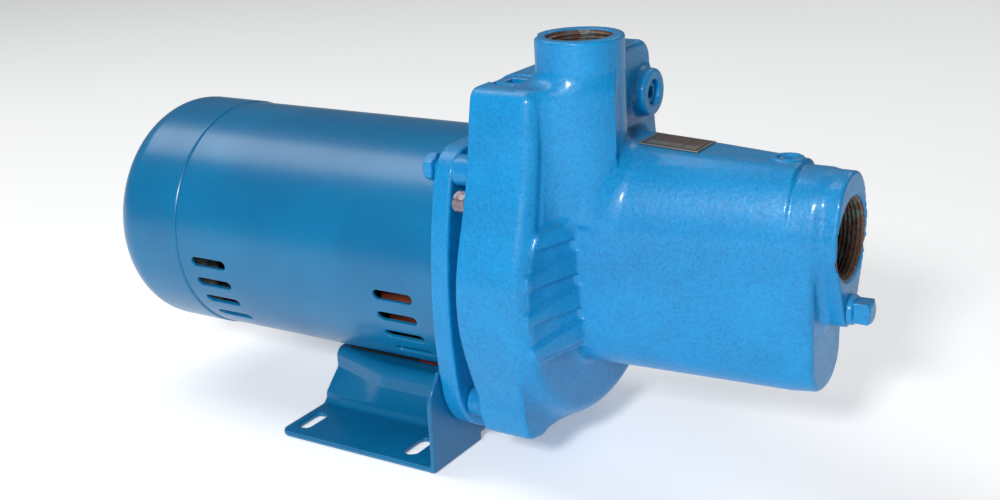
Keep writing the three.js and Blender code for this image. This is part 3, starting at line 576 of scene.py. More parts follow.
class Value:
    """A number that varies over a surface; arithmetic on it adds Math nodes."""

    def __init__(self, shader: Shader, socket: bpy.types.NodeSocket) -> None:
        """Wraps an output socket of a shader's node."""
        self.shader = shader
        self.socket = socket

    def maths(self, operation: str, *terms: Value | float) -> Value:
        """One Math node over the given terms."""
        made = self.shader.node("ShaderNodeMath", {"operation": operation}, dict(enumerate(terms)))
        return Value(self.shader, made.outputs[0])

    def __add__(self, other: Value | float) -> Value:
        """Sum."""
        return self.maths("ADD", self, other)

    __radd__ = __add__

    def __sub__(self, other: Value | float) -> Value:
        """Difference."""
        return self.maths("SUBTRACT", self, other)

    def __rsub__(self, other: float) -> Value:
        """Difference from a plain number."""
        return self.maths("SUBTRACT", other, self)

    def __mul__(self, other: Value | float) -> Value:
        """Product."""
        return self.maths("MULTIPLY", self, other)

    def __abs__(self) -> Value:
        """Size without sign."""
        return self.maths("ABSOLUTE", self)

    def wave(self) -> Value:
        """Sine."""
        return self.maths("SINE", self)

    def larger(self, other: Value | float) -> Value:
        """The larger of two."""
        return self.maths("MAXIMUM", self, other)

    def ramp(self, low: float, high: float) -> Value:
        """Smooth rise from 0 at low to 1 at high; low above high makes it fall."""
        made = self.shader.node(
            "ShaderNodeMapRange", {"interpolation_type": "SMOOTHSTEP"}, {0: self, 1: low, 2: high},
        )
        return Value(self.shader, made.outputs[0])


Paint = Value | float
Shade = bpy.types.NodeSocket | Colour


def linear(red: int, green: int, blue: int) -> Colour:
    """Screen colour in 0 to 255 as linear light."""
    return tuple(
        ((c / 255 + 0.055) / 1.055) ** 2.4 if c > 10 else c / 255 / 12.92 for c in (red, green, blue)
    )


class Shader:
    """One material and the nodes that make it."""

    def __init__(self, name: str) -> None:
        """Starts a material with a bare surface node and the piece's own coordinates."""
        self.material = bpy.data.materials.new(name)
        self.material.use_nodes = True
        self.tree = self.material.node_tree
        self.tree.nodes.clear()
        output = self.tree.nodes.new("ShaderNodeOutputMaterial")
        self.surface = self.tree.nodes.new("ShaderNodeBsdfPrincipled")
        self.tree.links.new(self.surface.outputs[0], output.inputs[0])
        self.place = self.node("ShaderNodeTexCoord", {}, {}).outputs["Object"]

    def node(self, kind: str, settings: dict, inputs: dict) -> bpy.types.Node:
        """Adds a node.

        Args:
            kind: Blender's node type.
            settings: properties set first.
            inputs: values or links by socket name or number.

        Returns:
            The node.
        """
        made = self.tree.nodes.new(kind)
        for key, setting in settings.items():
            setattr(made, key, setting)
        for key, given in inputs.items():
            self.feed(made.inputs[key], given)
        return made

    def feed(self, socket: bpy.types.NodeSocket, given: object) -> None:
        """Links a socket to a value or another socket, or sets it."""
        if isinstance(given, Value):
            given = given.socket
        if isinstance(given, bpy.types.NodeSocket):
            self.tree.links.new(given, socket)
        elif isinstance(given, tuple) and len(given) == 3 and socket.type == "RGBA":
            socket.default_value = (*given, 1.0)
        else:
            socket.default_value = given

    def noise(
        self, size: float, detail: float = 3.0, rough: float = 0.55, stretch: Colour = (1, 1, 1),
    ) -> Value:
        """Noise whose features are about size millimetres, drawn out along an axis by stretch."""
        scale = tuple(1 / s for s in stretch)
        mapping = self.node("ShaderNodeMapping", {}, {"Vector": self.place, "Scale": scale})
        made = self.node("ShaderNodeTexNoise", {}, {
            "Vector": mapping.outputs[0], "Scale": 1 / (size * MM), "Detail": detail, "Roughness": rough,
        })
        return Value(self, made.outputs[0])

    def along(self) -> tuple[Value, Value, Value]:
        """The piece's x, y and z in metres."""
        made = self.node("ShaderNodeSeparateXYZ", {}, {0: self.place})
        return tuple(Value(self, made.outputs[k]) for k in range(3))

    def facing(self) -> tuple[Value, Value, Value]:
        """The parts of the surface's own normal."""
        normal = self.node("ShaderNodeNewGeometry", {}, {}).outputs["Normal"]
        made = self.node("ShaderNodeSeparateXYZ", {}, {0: normal})
        return tuple(Value(self, made.outputs[k]) for k in range(3))

    def mix(self, share: Paint, first: Shade, second: Shade) -> bpy.types.NodeSocket:
        """Colour between two."""
        made = self.node("ShaderNodeMix", {"data_type": "RGBA"}, {0: share, 6: first, 7: second})
        return made.outputs[2]

    def relief(
        self, height: Value, depth: float, under: bpy.types.NodeSocket | None = None,
    ) -> bpy.types.NodeSocket:
        """Bump of a depth in millimetres, over another one where it is given."""
        inputs = {"Height": height, "Distance": depth * MM, "Strength": 1.0}
        if under is not None:
            inputs["Normal"] = under
        return self.node("ShaderNodeBump", {}, inputs).outputs[0]

    def done(self, **sockets: object) -> bpy.types.Material:
        """Feeds the surface's sockets, named with _ for a space, and returns the material."""
        for key, given in sockets.items():
            self.feed(self.surface.inputs[key.replace("_", " ")], given)
        return self.material


# Finishes ---------------------------------------------------------------------------------------------------


@dataclass(frozen=True)
class CastPaint:
    """Glossy enamel sprayed over a sand casting: grain shows through it, and the coat is darker in random clouds
    and specks.
    """

    name: str = "cast_paint"
    bright: Colour = linear(4, 140, 202)
    deep: Colour = linear(2, 108, 166)
    # grey-blue of the faces that look up: partly a dusting, partly a painted reflection of the sky
    dusting_and_sky_reflection: Colour = linear(92, 130, 160)
    roughness: float = 0.36
    grain: float = 0.09

    def material(self) -> bpy.types.Material:
        """Builds the finish."""
        s = Shader(self.name)
        cloud = s.noise(38, 4, 0.6).ramp(0.32, 0.7)
        speck = s.noise(1.6, 2, 0.6).ramp(0.35, 0.75)
        _, _, up = s.facing()
        base = s.mix(cloud * 0.35 + speck * 0.5, self.bright, self.deep)
        # faces that look up turn towards that grey-blue in patches: partly a dusting, partly a painted sky
        # reflection
        dusting_and_reflection_share = up.ramp(0.55, 1.0) * s.noise(9, 5, 0.7).ramp(0.25, 0.8) * 0.5
        with_dusting_and_reflection = s.mix(dusting_and_reflection_share, base, self.dusting_and_sky_reflection)
        pits = s.noise(2.6, 4, 0.62)
        rolls = s.relief(s.noise(11, 2, 0.5), 0.32)
        grit = s.relief(pits, self.grain * 2.4, rolls)
        skin = s.relief(s.noise(0.9, 2, 0.5), self.grain * 0.5, grit)
        return s.done(
            Base_Color=with_dusting_and_reflection, Roughness=self.roughness + pits.ramp(0.3, 0.8) * 0.14, Normal=skin,
            Coat_Weight=0.22, Coat_Roughness=0.1, Specular_IOR_Level=0.32,
        )


@dataclass(frozen=True)
class SheetPaint:
    """Smooth enamel on rolled or pressed sheet, with a faint orange peel and a dusting where it faces up."""

    name: str = "sheet_paint"
    bright: Colour = linear(6, 112, 160)
    deep: Colour = linear(2, 94, 142)
    roughness: float = 0.27

    def material(self) -> bpy.types.Material:
        """Builds the finish."""
        s = Shader(self.name)
        cloud = s.noise(60, 3, 0.5).ramp(0.3, 0.7)
        base = s.mix(cloud * 0.6 + s.noise(2.2, 2).ramp(0.3, 0.8) * 0.2, self.bright, self.deep)
        _, _, up = s.facing()
        rub = s.noise(5, 6, 0.75).ramp(0.58, 0.72) * up.ramp(0.2, 1.0) * 0.22
        worn = s.mix(rub, base, linear(96, 150, 186))
        peel = s.relief(s.noise(3.2, 2, 0.45), 0.02)
        return s.done(
            Base_Color=worn, Roughness=self.roughness + cloud * 0.05 + rub * 0.5,
            Normal=s.relief(s.noise(0.8, 2), 0.006, peel), Coat_Weight=0.12, Coat_Roughness=0.16,
            Specular_IOR_Level=0.4,
        )


@dataclass(frozen=True)
class Metal:
    """Bare or plated metal with fine marks and tarnish in patches."""

    name: str
    colour: Colour
    tarnish: Colour
    roughness: float = 0.34
    patch: float = 5.0
    amount: float = 0.5
    marks: Colour = (1, 1, 1)
    metallic: float = 1.0

    def material(self) -> bpy.types.Material:
        """Builds the finish."""
        s = Shader(self.name)
        stain = s.noise(self.patch, 5, 0.65).ramp(0.42, 0.68)
        fine = s.noise(0.5, 2, 0.5, self.marks)
        colour = s.mix(stain * self.amount, self.colour, self.tarnish)
        rough = self.roughness + stain * 0.25 * self.amount + fine.ramp(0.3, 0.7) * 0.08
        return s.done(
            Base_Color=colour, Metallic=self.metallic - stain * 0.5 * self.amount * self.metallic,
            Roughness=rough, Normal=s.relief(fine, 0.012, s.relief(s.noise(2.0, 3), 0.02)),
        )


@dataclass(frozen=True)
class Striped:
    """Metal laid in fine layers across an axis, as stator laminations and wound wire are."""

    name: str
    colour: Colour
    gap: Colour
    axis: int
    pitch: float
    metallic: float

    def material(self) -> bpy.types.Material:
        """Builds the finish: a sine of the place along the axis darkens the joints between layers."""
        s = Shader(self.name)
        place = s.along()[self.axis]
        layer = (place * (2 * math.pi / (self.pitch * MM)) + s.noise(8, 2) * 2.0).wave()
        joint = layer.ramp(0.2, -0.9)
        return s.done(
            Base_Color=s.mix(joint * 0.7 + s.noise(4, 4).ramp(0.5, 0.8) * 0.3, self.colour, self.gap),
            Metallic=self.metallic, Roughness=0.42 + joint * 0.2, Normal=s.relief(layer, 0.05),
        )


@dataclass(frozen=True)
class Moulded:
    """Rubber, plastic, ceramic or fibre with a moulded grain and slight blooming."""

    name: str
    colour: Colour
    bloom: Colour
    roughness: float
    grain: float = 0.7
    depth: float = 0.02

    def material(self) -> bpy.types.Material:
        """Builds the finish."""
        s = Shader(self.name)
        haze = s.noise(7, 4, 0.6).ramp(0.4, 0.8)
        return s.done(
            Base_Color=s.mix(haze * 0.4, self.colour, self.bloom), Roughness=self.roughness + haze * 0.12,
            Normal=s.relief(s.noise(self.grain, 3), self.depth),
        )


@dataclass(frozen=True)
class RustyThread:
    """Cut thread in cast iron: brown rust with grey patches of bare metal."""

    name: str

    def material(self) -> bpy.types.Material:
        """Builds the finish."""
        s = Shader(self.name)
        rust = s.mix(s.noise(1.8, 5, 0.7).ramp(0.3, 0.7), linear(66, 34, 26), linear(104, 78, 62))
        grey = s.mix(s.noise(6, 4, 0.6).ramp(0.5, 0.66), rust, linear(104, 118, 116))
        return s.done(
            Base_Color=grey, Metallic=s.noise(6, 4, 0.6).ramp(0.45, 0.7) * 0.6, Roughness=0.46,
            Normal=s.relief(s.noise(0.8, 4), 0.05),
        )


@dataclass(frozen=True)
class BlankPlate:
    """Rating plate with its fields left blank: a printed border and ruled panels on brushed metal."""

    name: str
    low: Sequence[float]
    high: Sequence[float]

    def material(self) -> bpy.types.Material:
        """Builds the finish.

        The distance in from the plate's nearest edge draws the border; two levels across it part the panels.
        """
        s = Shader(self.name)
        x, y, _ = s.along()
        middle = [(a + b) / 2 for a, b in zip(self.low, self.high)]
        half = [(b - a) / 2 for a, b in zip(self.low, self.high)]
        in_x = half[0] - abs(x - middle[0])
        in_y = half[1] - abs(y - middle[1])
        edge = 0 - (0 - in_x).larger(0 - in_y)
        border = edge.ramp(0.0012, 0.0015) * edge.ramp(0.0026, 0.0023)
        head = (y - (middle[1] - 0.2 * half[1])).ramp(-0.0002, 0.0002) * edge.ramp(0.0024, 0.0028)
        rule = (abs(x - (middle[0] + 0.35 * half[0]))).ramp(0.0005, 0.0002) * edge.ramp(0.0026, 0.003)
        brushed = s.noise(0.5, 3, 0.6, (1, 30, 1))
        plate = s.mix(brushed.ramp(0.25, 0.75), linear(128, 122, 116), linear(154, 150, 142))
        printed = s.mix(border.larger(rule), plate, linear(52, 46, 46))
        worn = head * (0.7 + s.noise(2.2, 3).ramp(0.4, 0.7) * 0.3)
        return s.done(
            Base_Color=s.mix(worn, printed, linear(74, 46, 44)),
            Metallic=0.55 - border * 0.5 - head * 0.5, Roughness=0.38 + brushed * 0.1,
            Normal=s.relief(brushed, 0.006),
        )


@dataclass(frozen=True)
class BandedPad:
    """Black pad with one red stretch."""

    name: str
    start: float
    end: float

    def material(self) -> bpy.types.Material:
        """Builds the finish: red between two places along x, with a soft uneven border."""
        s = Shader(self.name)
        x, _, _ = s.along()
        wander = x + (s.noise(6, 2) - 0.5) * 0.004
        soft = 0.001
        begun = wander.ramp(self.start - soft, self.start + soft)
        red = begun * wander.ramp(self.end + soft, self.end - soft)
        return s.done(
            Base_Color=s.mix(red, linear(18, 18, 20), linear(118, 16, 18)),
            Roughness=0.7 + s.noise(2, 3) * 0.15,
            Normal=s.relief(s.noise(0.9, 3), 0.05),
        )


class Finishes:
    """Every finish of the pump, built once, under the name of the record's material slot where it has one."""

    def __init__(self) -> None:
        """Builds the materials."""
        grey = linear(150, 150, 152)
        made = [
            CastPaint(), SheetPaint(),
            Metal("zinc", linear(142, 134, 140), linear(92, 82, 88), 0.36, 3.0, 0.7),
            Metal("steel", linear(168, 170, 172), grey, 0.26, 9.0, 0.3, (12, 1, 1)),
            Metal("aluminium", linear(196, 198, 200), grey, 0.42, 6.0, 0.4),
            Metal("brass", linear(186, 142, 62), linear(120, 84, 40), 0.3, 5.0, 0.5),
            Striped("lamination", linear(96, 98, 104), linear(30, 30, 34), 0, 0.9, 0.8),
            Striped("copper", linear(150, 66, 34), linear(60, 22, 12), 2, 1.1, 0.5),
            Moulded("rubber", linear(20, 20, 22), linear(46, 46, 48), 0.6),
            Moulded("black_plastic", linear(24, 25, 27), linear(40, 41, 44), 0.42, 0.5, 0.012),
            Moulded("grey_plastic", linear(44, 46, 50), linear(70, 72, 76), 0.4, 0.6, 0.015),
            Moulded("ceramic", linear(226, 222, 212), linear(206, 200, 188), 0.2, 1.5, 0.004),
            Moulded("fibre", linear(112, 66, 38), linear(138, 92, 58), 0.55, 1.1, 0.03),
            RustyThread("port_thread"),
        ]
        self.by_name = {finish.name: finish.material() for finish in made}

    def add(self, finish: BlankPlate | BandedPad) -> None:
        """Builds one more finish that needs places from the frame."""
        self.by_name[finish.name] = finish.material()

    def dress(self, piece: bpy.types.Object, finish: str) -> None:
        """Gives a piece its finish in every material slot."""
        if not piece.data.materials:
            piece.data.materials.append(None)
        for slot in piece.material_slots:
            slot.material = self.by_name[finish]


# Sub-assemblies ---------------------------------------------------------------------------------------------


@dataclass
class Assembly:
    """What every sub-assembly shares: the datum, the finishes and how a new piece joins the frame."""

    datum: Datum
    finishes: Finishes

    def settle(
        self, piece: bpy.types.Object, slot: str, *nodes: str, finish: str = "", body: str = "frame",
    ) -> None:
        """Dresses a piece in its slot's finish, hides the CAD nodes that it stands for, and lets it ride on its
        body.

        Args:
            piece: the finished piece.
            slot: the record's material slot.
            nodes: CAD nodes that it replaces.
            finish: its finish where that isn't the slot's own.
            body: the CAD body that carries it.
        """
        self.finishes.dress(piece, finish or slot)
        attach(piece, body)
        if nodes:
            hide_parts(*nodes)
        LOG.info("%s: %d faces", piece.name, len(piece.data.polygons))

    def turn(self, name: str, slot: str, node: str, rings: Sequence[Turn], axis: Axis,
             centre: Sequence[float], steps: int = 96) -> None:
        """Builds, dresses and settles one turned piece."""
        self.settle(make_piece(name, turned(rings, axis, centre, steps), self.datum), slot, node)


@dataclass
class Motor(Assembly):
    """Rolled shell with its vent slots, the deep rear cap, its screws and the conduit grommet."""

    radius: float = 72.0
    wall: float = 2.0
    rear: float = -184.4
    front: float = SHELL_FRONT
    slot_angles: tuple[float, ...] = (7.5, 19.0, 30.5, 43.0)
    slot_places: tuple[float, ...] = (-161.0, -22.5)
    slot_length: float = 27.0
    slot_width: float = 5.8
    cap_radius: float = 72.8
    cap_rear: float = -242.0
    cap_corner: float = 21.0
    conduit: tuple[float, float, float] = (-204.0, 73.2, -20.0)
    conduit_radius: float = 11.0
    screw_circle: float = 36.0

    def build(self) -> None:
        """Builds every piece of the sub-assembly."""
        self.build_shell()
        self.build_cap()
        self.build_screws()
        self.build_grommet()

    def build_shell(self) -> None:
        """The shell is a rolled sheet whose slots lie in rows below the middle on both sides."""
        low = [math.radians(a) for a in self.slot_angles]
        edges = [2 * low[0] - (low[0] + low[1]) / 2]
        edges += [(a + b) / 2 for a, b in zip(low[:-1], low[1:])]
        edges.append(2 * low[-1] - edges[-1])
        far = [-e for e in edges[::-1]]
        near = [math.pi + e for e in edges]
        angles = [*far, *near, far[0] + 2 * math.pi]
        arcs = [*[8] * 4, 120, *[8] * 4, 56]
        margin = 2.6
        half = self.slot_length / 2 + margin
        rear, front = self.slot_places
        breaks = [self.rear, rear - half, rear + half, front - half, front + half, self.front]
        size = (self.slot_length, self.slot_width)
        openings = []
        for column, place in ((1, rear), (3, front)):
            for row in range(4):
                openings.append(Opening(column, row, place, -low[3 - row], *size))
                openings.append(Opening(column, 5 + row, place, math.pi + low[row], *size))

        def straight(along: Array) -> tuple[Array, Array, Array, Array]:
            """A cylinder's profile."""
            flat = np.zeros_like(along)
            return along, flat + self.radius, flat, flat + 1

        sheet = RolledSheet(straight, self.wall, breaks, [3, 22, 30, 22, 5], angles, arcs, openings)
        self.settle(make_piece("motor_shell_skin", sheet.skin(), self.datum), "sheet_paint", "motor_shell")

    def build_cap(self) -> None:
        """The cap is drawn from one sheet: a straight skirt, a round corner and a slightly crowned end."""
        lip_end = 1.2
        skirt = self.cap_corner + self.cap_rear
        seam = self.rear - 0.3
        straight = seam - skirt
        quarter = math.pi / 2 * self.cap_corner
        flat = self.cap_radius - self.cap_corner
        crown = 1.4

        def drawn(along: Array) -> tuple[Array, Array, Array, Array]:
            """Profile by the way from the seam: a lip that rolls in, the skirt, the corner and the end."""
            turn = np.clip((along - straight) / self.cap_corner, 0, math.pi / 2)
            across = np.clip(along - straight - quarter, 0, flat)
            lip = np.clip(1 - along / lip_end, 0, 1)
            x = seam - np.clip(along, 0, straight) - self.cap_corner * np.sin(turn)
            x = x - crown * (1 - (1 - across / flat) ** 2) * (across > 0)
            radius = flat + self.cap_corner * np.cos(turn) - across - 0.7 * lip ** 2
            return x, np.maximum(radius, 0.0), -np.sin(turn), np.cos(turn)

        angle = math.asin(self.conduit[2] / self.cap_radius)
        half = math.radians(13)
        middle = seam - self.conduit[0]
        window = 14.2
        breaks = [0.0, middle - window, middle + window, straight + quarter + flat]
        angles = [angle - half, angle + half, angle - half + 2 * math.pi]
        hole = Opening(1, 0, middle, angle, 2 * self.conduit_radius, 2 * self.conduit_radius)
        sheet = RolledSheet(drawn, self.wall, breaks, [8, 12, 48], angles, [12, 150], [hole], closed_end=True)
        self.settle(make_piece("rear_cap_skin", sheet.skin(), self.datum), "sheet_paint", "rear_cap")

    def build_screws(self) -> None:
        """Three pan head screws, each with a small square recess, hold the cap."""
        face = self.datum.local(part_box("cap_screw_1")[0])[0]
        dome = [(0.0, 1.6), (0.35, 2.9), (0.95, 3.8), (1.7, 4.2), (2.1, 4.2)]
        shank, tip = 1.9, face + 14
        rings = [Turn(face + 1.0, 0.0), Turn(face + 1.0, 1.0, 4), Turn(face, 1.15, 4)]
        rings += [Turn(face + h, r) for h, r in dome]
        rings += [Turn(face + 2.1, shank), Turn(tip, shank), Turn(tip, 0.0)]
        for number, degrees in enumerate((90, 210, 330), 1):
            a = math.radians(degrees)
            spot = (0.0, self.screw_circle * math.cos(a), self.screw_circle * math.sin(a))
            self.turn(f"cap_screw_head_{number}", "zinc", f"cap_screw_{number}", rings, Axis.X, spot, 48)

    def build_grommet(self) -> None:
        """Rubber grommet in the conduit hole, with a rounded collar."""
        x, y, z = self.conduit
        roll, bore, waist = 2, 7.2, 10.4
        bend = [
            Turn(y + roll + roll * math.sin(a), self.conduit_radius + roll * math.cos(a))
            for a in np.linspace(-math.pi / 2, math.pi / 2, 9)
        ]
        rings = [
            Turn(y - 3, bore), Turn(y - 3, waist), Turn(y, waist), *bend,
            Turn(y + 4, 8.4), Turn(y + 3.6, 7.4), Turn(y - 3, bore),
        ]
        self.turn("conduit_grommet_ring", "rubber", "conduit_grommet", rings, Axis.Y, (x, y, z))


@dataclass
class Mounting(Assembly):
    """Foot folded from one sheet, the pad under the shell, and the two bolts into the adapter plate."""

    rear: float = -108.8
    front: float = 5.7
    half: float = 80.8
    floor: float = -108.7
    sheet: float = 3.0
    top: float = -74.6
    shoulder: float = -87.0
    waist: float = 35.0
    crown: float = 21.5
    knee: float = -65.0
    ankle: float = -99.5
    lean: float = 3.0
    open_below: float = -104.0
    flange_corner: tuple[float, float] = (70.0, -50.0)
    flange_fall: tuple[float, float] = (13.0, 10.8)
    recess_radius: float = 72.6
    recess_rear: float = -6.0
    slots: Places = ((-98.8, 60.5), (-20.0, 60.5))
    slot_half: float = 6.7
    slot_radius: float = 4.3
    bolts: Places = ((-24.0, -88.0), (24.0, -88.0))

    def build(self) -> None:
        """Builds every piece of the sub-assembly."""
        low = (self.rear - 3, -self.half - 3, self.floor - 3)
        high = (self.front + 3, self.half + 3, -46)
        skin = Mould(1.3).skin(self.foot, low, high)
        self.settle(make_piece("foot_sheet", skin, self.datum), "sheet_paint", "base_foot")
        self.build_pad()
        for number, (y, z) in enumerate(self.bolts, 1):
            seat = self.front - self.sheet - 0.3
            rings = hex_bolt(seat - 6, seat, 17.0, 12.7, 4.0)
            self.turn(f"foot_bolt_{number}", "zinc", f"base_bolt_{number}", rings, Axis.X, (0, y, z))

    def wall_place(self, x: Array, z: Array) -> Array:
        """Half width of the saddle, drawn in at the rear above the ankle; its top leans in at the front."""
        toward_rear = np.clip((self.knee - x) / (self.knee - self.rear), 0, 1)
        rise = np.clip((z - self.ankle) / (self.shoulder - self.ankle), 0, 1)
        pinch = (self.waist - self.crown) * toward_rear * rise
        above = np.clip((z - self.shoulder) / (self.top - self.shoulder), 0, 1)
        return self.waist - pinch - self.lean * above * (1 - toward_rear)

    def foot(self, p: Array) -> Array:
        """Distance to the foot: floor, front flange and saddle as one folded sheet, less the slots and hollows."""
        x, y, z = p[..., 0], p[..., 1], p[..., 2]
        side = np.abs(y)
        edge = 0.9
        outline = blend_meet(side - self.half, slab(x, self.rear, self.front), 7.0)
        base = blend_meet(outline, slab(z, self.floor, self.floor + self.sheet), edge)
        (wide, high), (run, fall) = self.flange_corner, self.flange_fall
        slant = ((side - wide) * run + (z - high) * fall) / math.hypot(run, fall)
        flange_side = blend_meet(side - self.half, slant, 4.0)
        flange_face = blend_meet(flange_side, slab(z, self.floor, high), 2.0)
        flange = blend_meet(flange_face, slab(x, self.front - self.sheet, self.front), edge)
        width = self.wall_place(x, z)
        outer = blend_meet(blend_meet(side - width, z - self.top, 6.0), slab(x, self.rear, self.front), edge)
        inner = blend_meet(side - width + self.sheet, z - self.top + self.sheet, 3.5)
        channel = blend_meet(outer, -inner, edge)
        body = blend_join(base, flange, 3.5)
        body = blend_join(body, channel, 4.0)
        body = np.maximum(np.maximum(body, self.floor - z), x - self.front)
        body = blend_meet(body, -np.maximum(inner, z - self.open_below), edge)
        for sx, sy in self.slots:
            reach = np.clip(side - sy, -self.slot_half, self.slot_half)
            slot = np.hypot(x - sx, side - sy - reach) - self.slot_radius
            body = blend_meet(body, -np.maximum(slot, z - self.floor - 8), 0.6)
        recess = drum(y, z, SHAFT, self.recess_radius)
        return blend_meet(body, -np.maximum(recess, self.recess_rear - x), edge)

    def build_pad(self) -> None:
        """Pad with rounded edges: a box whose corners follow a fourth-power oval."""
        low, high = (self.datum.local(c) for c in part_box("motor_pad"))
        middle, half = (low + high) / 2, (high - low) / 2
        angle = np.linspace(0, 2 * np.pi, 64, endpoint=False)[None, :]
        lift = np.linspace(-np.pi / 2, np.pi / 2, 25)[:, None]

        def oval(v: Array) -> Array:
            """Sine or cosine drawn out towards a square's side."""
            return np.sign(v) * np.abs(v) ** 0.25

        points = np.stack(np.broadcast_arrays(
            middle[0] + half[0] * oval(np.cos(lift)) * oval(np.cos(angle)),
            middle[1] + half[1] * oval(np.cos(lift)) * oval(np.sin(angle)),
            middle[2] + half[2] * oval(np.sin(lift)),
        ), axis=-1)
        red_rear, red_front = -46.0, -24.0
        ends = self.datum.place(np.array([[red_rear, 0, 0], [red_front, 0, 0]]))[:, 0]
        self.finishes.add(BandedPad("motor_pad_rubber", ends[0], ends[1]))
        piece = make_piece("pad_block", Skin.grid(points, close_v=True), self.datum)
        self.settle(piece, "rubber", "motor_pad", finish="motor_pad_rubber")


@dataclass
class Adapter(Assembly):
    """Cast plate between motor and pump with its spigot, neck and seal cover, and the bolts through it."""

    rear: float = 6.0
    front: float = 18.0
    top: float = 76.0
    levels: tuple[float, ...] = (63.5, 0.0, -67.0)
    widths: tuple[float, ...] = (63.5, 73.9, 69.0)
    arc: float = 102.0
    spigot_radii: tuple[float, float] = (60.0, 69.6)
    hub_radius: float = 27.0
    neck_radius: float = 48.0
    bearing_bore: float = 20.3
    shaft_bore: float = 10.5
    cover_rear: float = 27.0
    cover_front: float = 36.0
    cover_radius: float = 78.0
    bolts: Places = CASING_BOLTS
    rim_screw: tuple[float, float] = (-69.5, 51.5)

    def build(self) -> None:
        """Builds every piece of the sub-assembly."""
        skin = Mould(1.5).skin(self.plate, (-15, -80, -106), (40, 80, 80))
        self.settle(make_piece("adapter_casting", skin, self.datum), "cast_paint", "adapter_plate")
        for number, (y, z) in enumerate(self.bolts, 1):
            seat = self.rear - 0.3 if z > 0 else 2.4
            slot = "cast_paint" if z > 0 else "zinc"
            rings = hex_bolt(seat - 6.4, seat, 52.0, 14.3, 4.6)
            self.turn(f"casing_bolt_hex_{number}", slot, f"casing_bolt_{number}", rings, Axis.X, (0, y, z))
        rings = hex_bolt(24.5, 32.7, 44.0, 11.0, 3.0)
        self.turn("rim_screw_hex", "zinc", "rim_screw", rings, Axis.X, (0, *self.rim_screw))

    def plate(self, p: Array) -> Array:
        """Distance to the casting.

        The plate's sides follow the parabola through three half widths, its foot an arc about the shaft.
        """
        x, y, z = p[..., 0], p[..., 1], p[..., 2]
        curve = np.polyfit(self.levels, self.widths, 2)
        side = (np.abs(y) - np.polyval(curve, np.clip(z, -90, self.top))) * 0.985
        outline = blend_meet(side, z - self.top, 12.5)
        outline = blend_meet(outline, drum(y, z, SHAFT, self.arc), 9.0)
        body = bar(x, self.rear, self.front, outline, 1.8)
        shaft = np.hypot(y, z)
        inside, outside = self.spigot_radii
        spigot = bar(x, -6, self.rear + 1, np.maximum(shaft - outside, inside - shaft), 1.0)
        hub = bar(x, -12, self.rear + 1, shaft - self.hub_radius, 1.5)
        neck = bar(x, self.front - 1, self.cover_rear + 1, shaft - self.neck_radius, 1.0)
        cover = bar(x, self.cover_rear, self.cover_front, shaft - self.cover_radius, 1.2)
        body = np.minimum(body, spigot)
        body = blend_join(body, hub, 2.0)
        body = blend_join(body, neck, 4.0)
        body = blend_join(body, cover, 3.0)
        body = blend_meet(body, -np.maximum(shaft - self.bearing_bore, x - 2.5), 0.8)
        return blend_meet(body, self.shaft_bore - shaft, 0.8)


